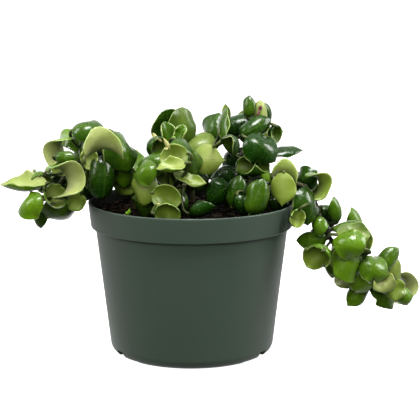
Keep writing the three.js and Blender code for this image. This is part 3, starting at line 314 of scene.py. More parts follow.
pot = spin_profile("plastic_pot", pot_profile(), POT_SIDES)
spread = math.tan(CHANNEL_HALF_ANGLE)
near, far = CHANNEL_REACH
slot_top = CHANNEL_DEPTH + SLOT_HEIGHT
for channel in range(CHANNELS):
    turn = math.radians(FIRST_CHANNEL + 360 / CHANNELS * channel)
    cut_with(pot, radial_block(near, near * spread, far, far * spread, CHANNEL_DEPTH, turn))
    cut_with(pot, radial_block(SLOT_INNER_RADIUS, SLOT_WIDTH / 2, far, SLOT_WIDTH / 2, slot_top, turn))
take_up(pot)
bpy.ops.object.shade_smooth_by_angle(angle=POT_CREASE)

plastic = Finish("grey_green_plastic", (0.045, 0.072, 0.056), 0.42)
clouds = plastic.noise(scale=26, detail=4)
tint = plastic.mixed(clouds, *PLASTIC_TINTS)
# The wall's inner face above the mix is painted near black, as painted shade for the shadowed inside of the
# pot
x, y, z = plastic.node("SeparateXYZ", Vector=plastic.place()).outputs
reach = plastic.number("SQRT", plastic.plus(plastic.times(x, x), plastic.times(y, y)))
start, full = INNER_PAINTED_SHADE_BEHIND_RIM
inside = plastic.ramp(reach, (RIM_RADIUS - start) * MM, (RIM_RADIUS - full) * MM, smooth=False)
start, full = INNER_PAINTED_SHADE_ABOVE_BAND_FOOT
high = plastic.ramp(z, (BAND_FOOT + start) * MM, (BAND_FOOT + full) * MM, smooth=False)
shade_painted_tint = plastic.mixed(plastic.times(inside, high), tint, INNER_PAINTED_SHADE_TINT)
roughness = plastic.ramp(clouds, 0, 1, *PLASTIC_ROUGHNESS, smooth=False)
plastic.set(plastic.shader, Base_Color=shade_painted_tint, Roughness=roughness)
plastic.bump(plastic.noise(scale=1800, detail=3), strength=0.12, distance=0.2 * MM)
pot.data.materials.append(plastic.material)
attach(pot, "root")
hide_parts("nursery_pot")

# The potting mix: peat and fine bark, packed into the pot and watered level just under the rim.
# Its top is crumbly, with sunken and raised places, and darker where it is damp.
SOIL_TOP = 104.5
SOIL_GAP = 0.4
SOIL_SIDES = 120
SOIL_RINGS = 44
SOIL_CREASE = math.radians(50)
SWELL_HEIGHT = 1.1
SWELL_SCALE = 0.045
CRUMB_HEIGHT = 0.9
CRUMB_SCALE = 0.32
PEAT_TINTS = ((0.0015, 0.0012, 0.0009), (0.009, 0.0065, 0.0045))


def soil_height(x, y):
    """The mix's height in millimetres at a place on its top, given in millimetres."""
    swell = noise.noise(Vector((x, y, 0)) * SWELL_SCALE)
    crumbs = noise.fractal(Vector((x, y, 7)) * CRUMB_SCALE, 0.9, 2.1, 4)
    return SOIL_TOP + SWELL_HEIGHT * swell + CRUMB_HEIGHT * crumbs


def build_soil():
    band_inner = BAND_FOOT_RADIUS - PLASTIC - SOIL_GAP
    ledge = BAND_FOOT + PLASTIC + SOIL_GAP
    wall_inner = WALL_TOP_RADIUS - PLASTIC - SOIL_GAP
    foot_inner = WALL_FOOT_RADIUS - PLASTIC - SOIL_GAP
    bottom = FLOOR_THICKNESS + SOIL_GAP
    base = BASE_RADIUS - PLASTIC - SOIL_GAP
    top = [(band_inner * (i / SOIL_RINGS), SOIL_TOP) for i in range(SOIL_RINGS + 1)]
    wall = [(band_inner, ledge), (wall_inner, ledge), (foot_inner, CORNER_HEIGHT)]
    filling = spin_profile("crumbly_potting_mix", top + wall + [(base, bottom), (0, bottom)], SOIL_SIDES)
    for vertex in filling.data.vertices:
        x, y, z = vertex.co / MM
        if z > SOIL_TOP - 0.1:
            vertex.co.z = soil_height(x, y) * MM
    return filling


soil = build_soil()
take_up(soil)
bpy.ops.object.shade_smooth_by_angle(angle=SOIL_CREASE)

peat = Finish("peat_and_bark", (0.012, 0.009, 0.007), 0.95)
damp = peat.mixed(peat.noise(scale=70, detail=6), *PEAT_TINTS)
peat.set(peat.shader, Base_Color=damp, Specular_IOR_Level=0.08)
lumps = peat.node("TexVoronoi", Vector=peat.place(), Scale=420)
peat.bump(lumps.outputs["Distance"], strength=0.9, distance=1.2 * MM)
soil.data.materials.append(peat.material)
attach(soil, "root")
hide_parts("potting_soil")

# The leafy stems: each is one grown piece, a woody stem with fleshy stalks and thick waxy leaves in
# opposite pairs. A leaf curls along its midrib and folds along its margins, so that its pale underside
# shows. The front leaves are laid by where the picture shows them, and those at the back by a rule.
ROOT_DEPTH = 26.0
COLLAR = 3.0
STEM_RADIUS = 1.9
STEM_SIDES = 12
STEM_TAPER = (1.05, 0.8)
NODE_SWELL = 0.14
STALK_RADIUS = 1.2
STALK_SIDES = 7
STALK_STEPS = 8
STALK_TAPER = (0.8, 1.0)
STALK_BEND = 0.4
LEAF_THICKNESS = 2.2
LEAF_STEPS = 24
FOLD_STEPS = 12
BLADE_ROWS = 20
BLADE_COLUMNS = 14
CURL_SWELL = (1.25, 0.5)
FLICK_FROM = 0.55
FLICK_TURN = 2.4
OUTLINE_ROUND = 2.2
WAVES = 1.25
WAVE_SHIFT = 0.3
RIPPLES = 2.6
RIPPLE_SHIFT = 0.4
RIPPLE_SHARE = 0.022
OWN_SHARES = {"curl": 0.16, "left": 0.2, "right": 0.2, "broad": 0.12}
OWN_TURNS = {"twist": 24, "sway": 24}
SAMPLES = 8
ELBOW_ROOM = 0.33
FURTHEST_PRESS = 22.0
PRESS_ROUNDS = 30
REACH = 0.5
RULED_FORMS = ("shell", "shell", "saddle", "hood", "arch", "clam")
RULED_SIZE = (26, 8)
RULED_DISTANCE = (9.5, 3)
RULED_TONE = 0.6
TURN_SPREAD = 60
FACE_SPREAD = 0.7
TIP_SPREAD = 0.8
SEEN_FROM_FRONT = 0.15
SHOW_UNDERSIDE = 0.3
BLADE_PART, STEM_PART, STALK_PART = 0, 1, 2
SIGHT = np.array([0.0, math.cos(CAMERA_DOWN), -math.sin(CAMERA_DOWN)])

# The leaf forms. The midrib curls down, its tip flicks back, and it sways aside and twists; the left
# and right halves fold down, with a flared lip and a waved margin. The rest is the blade's outline.
FORM_COLUMNS = ("curl", "flick", "sway", "twist", "left", "right", "lip", "wave", "broad", "point")
FORMS = {
    "shell": (112, 0.4, 8, 8, 110, 92, 0.5, 0.08, 0.95, 0.55),
    "bell": (92, 0.5, 10, 15, 115, 95, 0.85, 0.09, 1.0, 0.7),
    "lemon": (62, 0.3, 5, 10, 105, 90, 0.3, 0.05, 0.85, 1.0),
    "bowl": (150, 0.1, 5, 15, 100, 85, 0.1, 0.04, 1.05, 0.0),
    "dish": (110, 0.1, 5, 5, 80, 70, 0.2, 0.04, 0.9, 0.1),
    "fan": (30, 0.3, 15, 25, 50, -40, 0.3, 0.1, 0.9, 0.35),
    "cup": (175, 0.1, 10, 10, 135, 120, 0.2, 0.03, 1.05, 0.0),
    "hood": (-70, 0.3, 15, 20, -50, -75, 0.4, 0.07, 0.9, 0.4),
    "sail": (-35, 0.2, 10, 20, -28, -60, 0.4, 0.06, 1.0, 0.0),
    "saddle": (175, 0.2, 0, 25, -40, -60, 0.3, 0.05, 0.6, 0.0),
    "arch": (205, 0.2, 10, 20, 70, 60, 0.4, 0.04, 0.7, 0.2),
    "boat": (60, 0.6, 0, 20, 105, 90, 0.15, 0.05, 0.8, 0.7),
    "band": (60, 0.3, 0, 20, 50, 45, 0.2, 0.04, 0.4, 0.7),
    "clam": (80, 0.2, 10, 0, 160, 150, 0.0, 0.02, 1.35, 0.0),
    "hook": (220, 0, 0, 30, -35, -45, 0.2, 0.04, 0.6, 0.1),
    "ruff": (-20, 0.2, 10, 20, 30, -60, 0.2, 0.06, 0.85, 0.0),
    "trough": (-25, 0.2, 0, 10, -100, -95, 0.2, 0.05, 0.85, 0.3),
    "sickle": (100, 0, 0, 15, 50, 40, 0.3, 0.03, 0.5, 0.5),
    "kite": (-20, 0.2, 0, 15, -20, -45, 0.2, 0.03, 0.8, 1.8),
    "open": (35, 0, 0, 0, 35, 35, 0, 0, 0.5, 1.0),
}

# The stems, in millimetres. A leaf's row gives the picture's pixel that its middle shows at, how far
# it lies behind the pot's axis, the bearing and rise of its tip and of its upper face, the length of
# its midrib, and how light it is. That lightness is partly the leaf's own tone and partly painted light
# and shade: leaves that lie in shade are made darker, and lit ones lighter.
LEAF_COLUMNS = ("form", "across", "down", "behind", "tip", "face", "size", "tone")
STEMS = {
    "left": dict(
        foot=(-42, 6),
        run=[
            [-45, 4, 118], [-54, 0, 136], [-66, -4, 147], [-80, -8, 143], [-93, -10, 130],
            [-103, -12, 118], [-116, -12, 117],
        ],
        branches=[],
        rule=dict(first=45, last=145, spacing=15, all_round=False),
        leaves=[
            ("boat", 26, 189, -16, (-90, 8), (180, -72), 36, 0.9),
            ("cup", 38, 176, -12, (90, 0), (200, 30), 26, 0.45),
            ("shell", 49, 178, 4, (0, 80), (40, 20), 18, 0.1),
            ("bell", 31, 204, -20, (-90, -10), (-40, 25), 26, 0.7),
            ("lemon", 38, 218, -14, (-20, -75), (-20, -10), 19, 0.2),
            ("bell", 62, 213, -16, (50, -40), (35, -30), 33, 0.45),
            ("cup", 57, 200, -26, (90, -20), (190, -35), 30, 0.85),
            ("shell", 48, 194, -26, (0, -80), (-50, -10), 20, 0.3),
            ("shell", 59, 185, -20, (-70, 10), (-45, 30), 24, 0.2),
            ("hook", 74, 178, -24, (-40, -75), (125, 12), 46, 1.1),
            ("hook", 56, 147, -10, (10, 85), (-112, 12), 42, 1.2),
            ("bell", 70, 133, 0, (-90, 0), (-30, 50), 27, 0.35),
            ("shell", 91, 127, -2, (90, 5), (20, 50), 30, 0.2),
            ("cup", 90, 139, -4, (60, 0), (190, 10), 22, 0.8),
            ("boat", 83, 149, -8, (0, -75), (-40, 15), 24, 0.3),
            ("saddle", 105, 145, -24, (90, -12), (186, 42), 41, 1.05),
            ("dish", 92, 158, -18, (-20, -70), (165, 0), 20, 0.7),
            ("bell", 125, 150, -12, (70, -65), (45, 20), 36, 0.15),
            ("clam", 106, 177, -20, (-10, -80), (25, 8), 36, 0.0),
            ("saddle", 92, 174, -20, (0, 85), (-105, 5), 32, 0.4),
            ("saddle", 116, 157, 0, (90, 40), (30, 20), 22, 0.1),
            ("shell", 129, 172, -8, (20, -80), (50, 5), 28, 0.45),
            ("fan", 125, 183, -4, (60, -50), (190, -10), 20, 0.4),
            ("boat", 67, 157, -14, (90, -10), (0, 25), 16, 0.25),
            ("saddle", 59, 166, -16, (0, 80), (-110, 0), 20, 0.85),
            ("shell", 86, 186, -14, (0, -80), (35, 0), 27, 0.0),
            ("fan", 76, 202, -28, (-60, -50), (190, 0), 15, 0.4),
        ],
    ),
    "middle": dict(
        foot=(-20, -2),
        run=[[-24, -8, 120], [-22, -10, 136], [-14, -4, 148], [-12, 0, 156]],
        branches=[
            [[-14, -4, 148], [-6, 2, 150], [4, 4, 150]],
            [[-22, -10, 136], [-12, -16, 138], [2, -14, 134]],
            [[-21, -4, 110], [-24, -24, 113], [-24, -40, 118], [-14, -40, 128], [-4, -36, 130]],
        ],
        rule=dict(first=42, last=80, spacing=15, all_round=False),
        leaves=[
            ("sail", 167, 125, 6, (-8, 84), (12, -8), 28, 0.05),
            ("ruff", 183, 126, 2, (8, 84), (195, -6), 28, 0.05),
            ("trough", 168, 135, -4, (-20, 70), (20, 15), 20, 0.3),
            ("trough", 181, 134, -6, (30, 66), (-10, 15), 14, 0.5),
            ("open", 174, 141, -8, (0, 80), (0, 20), 9, 0.9),
            ("cup", 151, 145, -10, (-40, 60), (-138, 15), 29, 0.1),
            ("bell", 154, 158, -32, (-90, 0), (-20, 50), 28, 0.3),
            ("dish", 153, 167, -24, (90, -10), (180, -20), 22, 0.7),
            ("bell", 189, 155, -26, (60, -40), (40, 25), 33, 0.15),
            ("dish", 174, 158, -38, (-80, -10), (186, -8), 25, 0.7),
            ("boat", 172, 170, -42, (-80, -10), (180, -60), 22, 0.75),
            ("hood", 201, 142, -8, (90, 5), (180, -40), 26, 0.4),
            ("kite", 207, 160, -24, (90, 0), (172, -8), 28, 0.8),
            ("shell", 199, 176, -22, (60, -20), (35, 30), 25, 0.05),
            ("bell", 143, 171, -42, (-80, 0), (-35, 25), 22, 0.4),
            ("hood", 143, 188, -42, (-25, -70), (165, -10), 27, 0.65),
            ("bell", 141, 201, -38, (-10, -80), (-30, 8), 26, 0.35),
            ("dish", 170, 185, -32, (-85, 0), (176, -12), 29, 0.7),
            ("band", 189, 180, -46, (100, -30), (188, -40), 27, 0.5),
            ("dish", 165, 197, -48, (80, -15), (190, -10), 27, 0.45),
            ("bowl", 168, 211, -52, (90, -7), (180, 8), 25, 0.4),
            ("boat", 203, 212, -46, (90, 8), (20, -25), 21, -0.2),
            ("shell", 186, 204, -34, (60, -70), (60, 0), 24, 0.1),
            ("shell", 170, 152, 0, (0, 40), (0, 30), 26, 0.1),
            ("shell", 163, 174, -16, (90, 0), (0, 20), 26, 0.0),
        ],
    ),
    "upper": dict(
        foot=(26, 8),
        run=[[32, 8, 122], [38, 4, 140], [44, 0, 156], [48, -2, 172], [50, -2, 178]],
        branches=[
            [[38, 4, 140], [28, 2, 150], [20, 0, 160]],
        ],
        rule=dict(first=45, last=95, spacing=15, all_round=False),
        leaves=[
            ("bell", 211, 128, -2, (-30, 75), (-40, 20), 30, 0.2),
            ("sickle", 221, 136, -14, (-90, 72), (-80, -12), 46, 0.3),
            ("arch", 236, 141, -22, (60, -50), (110, 35), 27, 0.0),
            ("boat", 240, 121, 2, (90, 6), (0, 38), 31, -0.4),
            ("lemon", 247, 107, 0, (0, 80), (-30, 10), 17, 0.1),
            ("trough", 261, 113, -6, (0, 78), (192, 0), 19, 0.9),
            ("lemon", 269, 113, -2, (0, 75), (40, 0), 17, 0.0),
            ("boat", 256, 127, -16, (75, 32), (10, 20), 28, 0.0),
            ("bell", 262, 148, -20, (70, -30), (20, 20), 31, -0.35),
            ("cup", 271, 132, -8, (60, -40), (225, 10), 20, -0.1),
            ("open", 285, 150, -6, (90, 18), (0, 62), 28, -0.3),
            ("open", 267, 157, -10, (90, 3), (180, -60), 18, 0.15),
            ("shell", 230, 161, 4, (-60, -40), (-30, 15), 29, -0.5),
            ("shell", 232, 131, 4, (60, 20), (0, 10), 20, -0.5),
            ("open", 226, 113, -2, (-10, 75), (190, 0), 14, 0.4),
        ],
    ),
    "right": dict(
        foot=(46, -26),
        run=[[48, -27, 112], [52, -28, 122], [58, -24, 128]],
        branches=[
            [[48, -27, 112], [42, -26, 124], [42, -22, 132]],
        ],
        leaves=[
            ("clam", 252, 171, -19, (90, 22), (184, -48), 28, 0.05),
            ("lemon", 235, 191, -34, (20, 75), (-25, 12), 26, 0.1),
            ("lemon", 256, 197, -42, (30, 62), (-10, 10), 30, 0.22),
            ("saddle", 285, 172, -18, (90, -25), (165, 38), 30, 0.95),
            ("kite", 282, 190, -28, (-20, -72), (168, 0), 26, 0.75),
            ("open", 267, 176, -22, (-60, 40), (10, 20), 14, 0.7),
            ("shell", 280, 201, -27, (80, -10), (20, 25), 19, 0.05),
            ("shell", 222, 172, 0, (-80, 10), (-30, 40), 25, -0.4),
            ("lemon", 242, 206, -40, (60, -60), (0, 0), 18, -0.3),
            ("shell", 221, 191, -10, (-60, -40), (20, 10), 27, -0.4),
            ("shell", 259, 182, -6, (30, 30), (0, 30), 24, -0.3),
        ],
    ),
    "trailing": dict(
        foot=(58, 6),
        run=[
            [63, 4, 118], [72, 0, 125], [84, -4, 122], [92, -8, 108], [98, -10, 92], [108, -12, 78],
            [122, -12, 70], [138, -12, 64], [150, -12, 55], [158, -12, 46],
        ],
        branches=[],
        rule=dict(first=50, last=190, spacing=15, all_round=False),
        leaves=[
            ("bell", 304, 179, -4, (60, 40), (-30, 15), 24, 0.05),
            ("hook", 321, 184, -8, (0, 85), (112, 8), 36, 0.7),
            ("shell", 299, 188, 0, (-60, 0), (0, 25), 22, 0.05),
            ("bell", 310, 206, -16, (10, -80), (45, 5), 31, 0.0),
            ("cup", 294, 218, -22, (-30, -70), (200, -10), 20, 0.55),
            ("shell", 327, 209, -2, (80, 10), (30, 40), 16, 0.1),
            ("boat", 337, 209, -8, (-8, 80), (40, 10), 20, 0.3),
            ("shell", 332, 217, 0, (0, -80), (30, 10), 18, 0.15),
            ("shell", 316, 226, -18, (-20, -70), (-35, 10), 18, 0.5),
            ("shell", 325, 230, -8, (0, -80), (30, 0), 22, 0.0),
            ("boat", 311, 239, -18, (-88, 0), (-20, 15), 24, 0.5),
            ("cup", 321, 251, -20, (-60, -40), (150, 15), 36, 0.5),
            ("shell", 307, 255, -14, (-20, -80), (-60, 0), 15, 0.5),
            ("bell", 331, 265, -18, (-20, -75), (-40, 5), 24, 0.8),
            ("bell", 345, 243, -26, (-80, 15), (-20, 15), 27, 0.7),
            ("hook", 334, 253, -18, (0, 85), (-100, 0), 32, 0.5),
            ("bell", 350, 263, -26, (-60, -30), (25, 10), 32, 0.85),
            ("fan", 350, 235, -12, (85, 5), (180, -55), 25, 0.3),
            ("lemon", 360, 221, -4, (0, 75), (40, 15), 24, 0.45),
            ("boat", 348, 226, -10, (-90, -5), (0, 45), 25, 0.4),
            ("fan", 360, 241, -8, (10, -75), (150, 0), 27, 0.45),
            ("shell", 362, 254, 0, (40, -70), (10, 10), 22, 0.0),
            ("bell", 373, 267, -18, (75, -20), (20, 25), 26, 0.5),
            ("boat", 386, 258, -12, (50, 45), (0, 20), 24, 0.35),
            ("sail", 386, 272, -8, (60, 55), (185, -10), 28, 0.7),
            ("saddle", 380, 282, -16, (90, 10), (180, -35), 24, 1.0),
            ("shell", 364, 278, -16, (80, -20), (30, 20), 28, 0.8),
            ("dish", 348, 279, -12, (-70, -20), (180, -10), 22, 1.1),
            ("boat", 361, 292, -16, (-55, -45), (5, 15), 29, 0.55),
            ("fan", 394, 289, -12, (0, -75), (190, -10), 17, 0.45),
            ("hook", 409, 285, -6, (-10, 85), (118, 10), 42, 1.7),
            ("shell", 405, 297, -14, (60, -60), (20, 0), 18, 0.6),
        ],
    ),
    "rear_left": dict(
        foot=(-40, 40),
        run=[[-44, 46, 118], [-54, 56, 128], [-66, 68, 126], [-76, 80, 112], [-80, 88, 96]],
        branches=[],
        rule=dict(first=46, last=150, spacing=15, all_round=True),
        leaves=[],
    ),
    "rear": dict(
        foot=(0, 44),
        run=[[0, 46, 120], [-4, 54, 134], [-8, 66, 136], [-10, 80, 126], [-10, 90, 110]],
        branches=[],
        rule=dict(first=46, last=150, spacing=15, all_round=True),
        leaves=[],
    ),
    "rear_right": dict(
        foot=(40, 40),
        run=[[44, 44, 114], [50, 52, 122], [58, 64, 118], [66, 76, 104]],
        branches=[],
        rule=dict(first=46, last=140, spacing=15, all_round=True),
        leaves=[],
    ),
}


def draw(row, column):
    """A repeatable number from 0 to 1 for each pair of whole numbers."""
    value = math.sin(row * 12.9898 + column * 78.233) * 43758.5453
    return value - math.floor(value)


def seen(across, down, behind):
    """A place in millimetres from where the camera sees it and how far it lies behind the pot's axis."""
    at = CAMERA_AT / MM
    away = behind - at.y
    fall = -away * math.tan(CAMERA_DOWN + math.atan((down - PICTURE / 2) / LENS_PIXELS))
    depth = away * math.cos(CAMERA_DOWN) - fall * math.sin(CAMERA_DOWN)
    return np.array([at.x + (across - PICTURE / 2) * depth / LENS_PIXELS, behind, at.z + fall])


def compass(bearing, rise):
    """A direction from its bearing, 0 to the front and 90 to the right, and its rise, in degrees."""
    b, r = math.radians(bearing), math.radians(rise)
    return np.array([math.sin(b) * math.cos(r), -math.cos(b) * math.cos(r), math.sin(r)])


def unit(vector):
    return vector / np.linalg.norm(vector)


def turned(pose, rate):
    """A 3 by 3 pose turned about its own axes by a small turn in radians."""
    angle = np.linalg.norm(rate)
    x, y, z = rate / angle
    across = np.array([[0, -z, y], [z, 0, -x], [-y, x, 0]])
    return pose @ (np.eye(3) + math.sin(angle) * across + (1 - math.cos(angle)) * across @ across)


def midrib(form, size):
    """The midrib's poses and places at each step, counted from the blade's middle."""
    poses, places = [np.eye(3)], [np.zeros(3)]
    for i in range(LEAF_STEPS):
        along = (i + 0.5) / LEAF_STEPS
        swell = CURL_SWELL[0] - CURL_SWELL[1] * abs(2 * along - 1)
        tip = 1 - form["flick"] * FLICK_TURN * max(0.0, along - FLICK_FROM) / (1 - FLICK_FROM)
        rate = np.radians([form["twist"], form["curl"] * swell * tip, form["sway"]]) / LEAF_STEPS
        half = turned(poses[-1], rate / 2)
        places.append(places[-1] + half[:, 0] * size / LEAF_STEPS)
        poses.append(turned(poses[-1], rate))
    back = poses[LEAF_STEPS // 2].T
    middle = places[LEAF_STEPS // 2]
    return np.array([back @ pose for pose in poses]), np.array([back @ (p - middle) for p in places])


def blade(leaf, along, across):
    """The blade's middle surface and its upper face's normals, on a grid of shares along and across."""
    form, size = leaf["shape"], leaf["size"]
    poses, places = midrib(form, size)
    station = along * LEAF_STEPS
    low = np.minimum(station.astype(int), LEAF_STEPS - 1)
    part = (station - low)[:, None, None]
    pose = poses[low] * (1 - part) + poses[low + 1] * part
    rib = places[low] * (1 - part[:, :, 0]) + places[low + 1] * part[:, :, 0]
    power = 0.5 + (0.16 + 0.75 * form["point"]) * along ** 2 + 0.1 * form["point"]
    swell = np.maximum(0, 1 - np.abs(2 * along - 1) ** OUTLINE_ROUND) ** power
    half = size * form["broad"] / 2 * swell
    sign, out = np.sign(across), np.abs(across)
    fold = np.radians(np.where(across < 0, form["left"], form["right"])) * swell[:, None]
    side, drop = np.zeros_like(fold), np.zeros_like(fold)
    for i in range(FOLD_STEPS):
        share = out * (i + 0.5) / FOLD_STEPS
        slope = fold * (share - form["lip"] * share ** 3)
        side += np.cos(slope) * out / FOLD_STEPS
        drop += np.sin(slope) * out / FOLD_STEPS
    slope = fold * (out - form["lip"] * out ** 3)
    swing = np.sin(2 * math.pi * (WAVES * along[:, None] + WAVE_SHIFT * sign))
    lift = form["wave"] * size * out ** 2 * swing * np.sin(math.pi * along[:, None])
    ripple = np.sin(2 * math.pi * (RIPPLES * along[:, None] + leaf["ripple"] + RIPPLE_SHIFT * sign))
    lift = lift + RIPPLE_SHARE * size * out ** 4 * ripple * swell[:, None]
    section = np.stack([np.zeros_like(side), half[:, None] * side * sign, lift - half[:, None] * drop], 2)
    upward = np.stack([np.zeros_like(slope), sign * np.sin(slope), np.cos(slope)], 2)
    points = rib[:, None, :] + np.einsum("aij,abj->abi", pose, section)
    normals = np.einsum("aij,abj->abi", pose, upward)
    face = unit(leaf["face"])
    tip = unit(leaf["tip"] - face * leaf["tip"].dot(face))
    lay = np.stack([tip, np.cross(face, tip), face], 1)
    return leaf["centre"] + points @ lay.T, normals @ lay.T


class Growth:
    """Collects the points and faces of one stem's wood and leaves, in millimetres."""

    def __init__(self):
        self.points, self.faces, self.kinds = [], [], []
        self.under, self.tone, self.along, self.across = [], [], [], []

    def add(self, points, faces, kind, under, tone, along, across):
        start = len(self.points)
        self.points.extend(points)
        self.faces.extend([[start + corner for corner in face] for face in faces])
        self.kinds.extend([kind] * len(faces))
        self.under.extend(under)
        self.tone.extend([tone] * len(points))
        self.along.extend(along)
        self.across.extend(across)


def add_blade(growth, leaf):
    """A thick blade: an upper and a lower sheet that meet at the margins, the base and the tip."""
    along = np.linspace(0, 1, BLADE_ROWS + 1)
    across = np.sin(np.linspace(-math.pi / 2, math.pi / 2, BLADE_COLUMNS + 1))
    surface, normals = blade(leaf, along, across)
    taper = np.minimum(1, 4 * along + 0.3) * np.minimum(1, 3 * (1 - along) + 0.3)
    half = LEAF_THICKNESS / 2 * taper[:, None] * np.sqrt(1 - np.abs(across) ** 4)
    upper, lower = surface + normals * half[:, :, None], surface - normals * half[:, :, None]
    points, us, vs = [], [], []
    top = np.zeros((BLADE_ROWS + 1, BLADE_COLUMNS + 1), int)
    low = np.zeros_like(top)

    def keep(point, i, j):
        points.append(point)
        us.append(along[i])
        vs.append((across[j] + 1) / 2)
        return len(points) - 1

    for i in range(BLADE_ROWS + 1):
        if i in (0, BLADE_ROWS):
            top[i, :] = low[i, :] = keep(surface[i, BLADE_COLUMNS // 2], i, BLADE_COLUMNS // 2)
            continue
        for j in range(BLADE_COLUMNS + 1):
            if j in (0, BLADE_COLUMNS):
                top[i, j] = low[i, j] = keep(surface[i, j], i, j)
            else:
                top[i, j] = keep(upper[i, j], i, j)
                low[i, j] = keep(lower[i, j], i, j)
    faces, under = [], []
    for i in range(BLADE_ROWS):
        for j in range(BLADE_COLUMNS):
            for sheet, flip in ((top, False), (low, True)):
                ring = [sheet[i, j], sheet[i + 1, j], sheet[i + 1, j + 1], sheet[i, j + 1]]
                ring = [int(corner) for k, corner in enumerate(ring) if corner != ring[k - 1]]
                faces.append(ring[::-1] if flip else ring)
                under.append(1.0 if flip else 0.0)
    growth.add(points, faces, BLADE_PART, under, leaf["tone"], us, vs)


def smooth_line(points, steps=SAMPLES):
    """Points along the smooth curve through the given ones."""
    points = [np.array(p, float) for p in points]
    points = [2 * points[0] - points[1]] + points + [2 * points[-1] - points[-2]]
    line = []
    for a, b, c, d in zip(points, points[1:], points[2:], points[3:]):
        for i in range(steps):
            t = i / steps
            line.append(0.5 * (2 * b + (c - a) * t + (2 * a - 5 * b + 4 * c - d) * t ** 2
                               + (3 * b - a - 3 * c + d) * t ** 3))
    return np.array(line + [points[-2]])


def add_tube(growth, line, radii, sides, kind=0, tone=0):
    """A round closed tube along a line, with its own radius at each point."""
    points, faces = [], []
    ref = np.array([0.31, 0.93, 0.17])
    for i, at in enumerate(line):
        ahead = unit(line[min(i + 1, len(line) - 1)] - line[max(i - 1, 0)])
        ref = unit(ref - ahead * ref.dot(ahead))
        side = np.cross(ahead, ref)
        for k in range(sides):
            turn = 2 * math.pi * k / sides
            points.append(at + radii[i] * (math.cos(turn) * ref + math.sin(turn) * side))
    for i in range(len(line) - 1):
        for k in range(sides):
            a, b = i * sides + k, i * sides + (k + 1) % sides
            faces.append([a, b, b + sides, a + sides])
    faces.append(list(range(sides))[::-1])
    faces.append([(len(line) - 1) * sides + k for k in range(sides)])
    shares = [i / (len(line) - 1) for i in range(len(line)) for k in range(sides)]
    growth.add(points, faces, kind, [0.0] * len(faces), tone, shares, [0.5] * len(points))


def leaf_shape(name, number):
    """The named form with each leaf's own small differences."""
    shape = dict(zip(FORM_COLUMNS, FORMS[name]))
    for column, (value, spread) in enumerate(OWN_SHARES.items(), start=1):
        shape[value] *= 1 + spread * (draw(number, column) - 0.5)
    for column, (value, spread) in enumerate(OWN_TURNS.items(), start=1 + len(OWN_SHARES)):
        shape[value] += spread * (draw(number, column) - 0.5)
    return shape


def pairs_along(line, rule, seed):
    """Opposite pairs along a stem, each a quarter turn on, and only the far ones where the front shows."""
    steps = np.linalg.norm(np.diff(line, axis=0), axis=1)
    distances = np.concatenate([[0], np.cumsum(steps)])

    def point_at(distance):
        return np.array([np.interp(distance, distances, line[:, axis]) for axis in range(3)])

    leaves = []
    end = min(rule["last"], distances[-1] - 3)
    pair = 0
    while rule["first"] + pair * rule["spacing"] < end:
        at = rule["first"] + pair * rule["spacing"]
        place = point_at(at)
        stem = unit(point_at(at + 2) - place)
        aside = unit(np.cross(stem, (0, 1, 0)))
        up = np.cross(aside, stem)
        for side in (0, 1):
            chance = [draw(seed + column, 4 * pair + side) for column in range(14)]
            turn = math.radians(90 * pair + 180 * side + TURN_SPREAD * (chance[0] - 0.5))
            out = aside * math.cos(turn) + up * math.sin(turn)
            if not (rule["all_round"] or out[1] > SEEN_FROM_FRONT):
                continue
            distance = RULED_DISTANCE[0] + RULED_DISTANCE[1] * chance[1]
            centre = place + out * distance + stem * 4 * (chance[2] - 0.3)
            face = out * (-1 if chance[3] < SHOW_UNDERSIDE else 1)
            face = face + FACE_SPREAD * np.array([chance[4] - 0.5, chance[5] - 0.5, chance[6] - 0.2])
            tip = stem + TIP_SPREAD * np.array([chance[7] - 0.5, chance[8] - 0.5, chance[9] - 0.5])
            form = RULED_FORMS[int(len(RULED_FORMS) * chance[10])]
            size = RULED_SIZE[0] + RULED_SIZE[1] * chance[11]
            leaves.append(dict(ruled=True, form=form, centre=centre, tip=tip, face=face,
                               size=size, tone=RULED_TONE * chance[12]))
        pair += 1
    return leaves


def leaves_of(stem, order, line):
    """A stem's leaves: the rows of its own table, and then those that follow its rule."""
    leaves = []
    for values in stem["leaves"]:
        row = dict(zip(LEAF_COLUMNS, values))
        centre = seen(row["across"], row["down"], row["behind"])
        row.update(ruled=False, centre=centre, tip=compass(*row["tip"]), face=compass(*row["face"]))
        leaves.append(row)
    if "rule" in stem:
        leaves += pairs_along(line, stem["rule"], 20 * order + 3)
    for i, leaf in enumerate(leaves):
        leaf["shape"] = leaf_shape(leaf["form"], 100 * order + i)
        leaf["ripple"] = draw(100 * order + i, 7)
    return leaves


def press_apart(leaves):
    """Leaves that lie too near one another move apart in depth, so that each stays where it is seen."""
    before = [leaf["centre"].copy() for leaf in leaves]
    for _ in range(PRESS_ROUNDS):
        for i, one in enumerate(leaves):
            for other in leaves[:i]:
                apart = one["centre"] - other["centre"]
                lack = ELBOW_ROOM * (one["size"] + other["size"]) - math.sqrt(apart.dot(apart))
                if lack > 0:
                    push = (-lack if apart.dot(SIGHT) < 0 else lack) / 4
                    one["centre"] = one["centre"] + SIGHT * push
                    other["centre"] = other["centre"] - SIGHT * push
        for leaf, start in zip(leaves, before):
            moved = (leaf["centre"] - start).dot(SIGHT)
            kept = max(-FURTHEST_PRESS, min(FURTHEST_PRESS, moved))
            leaf["centre"] = leaf["centre"] + SIGHT * (kept - moved)


def keep_off_pot(leaf):
    """A leaf that follows the rule stays off the pot's rim and wall and off the mix."""
    reach = REACH * leaf["size"]
    centre = leaf["centre"]
    out = math.hypot(centre[0], centre[1])
    rim = np.array([centre[0] / out * RIM_RADIUS, centre[1] / out * RIM_RADIUS, min(centre[2], POT_HEIGHT)])
    if out < RIM_RADIUS:
        centre[2] = max(centre[2], SOIL_TOP + reach)
        rim[2] = POT_HEIGHT
    apart = centre - rim
    if np.linalg.norm(apart) < reach:
        leaf["centre"] = rim + unit(apart) * reach


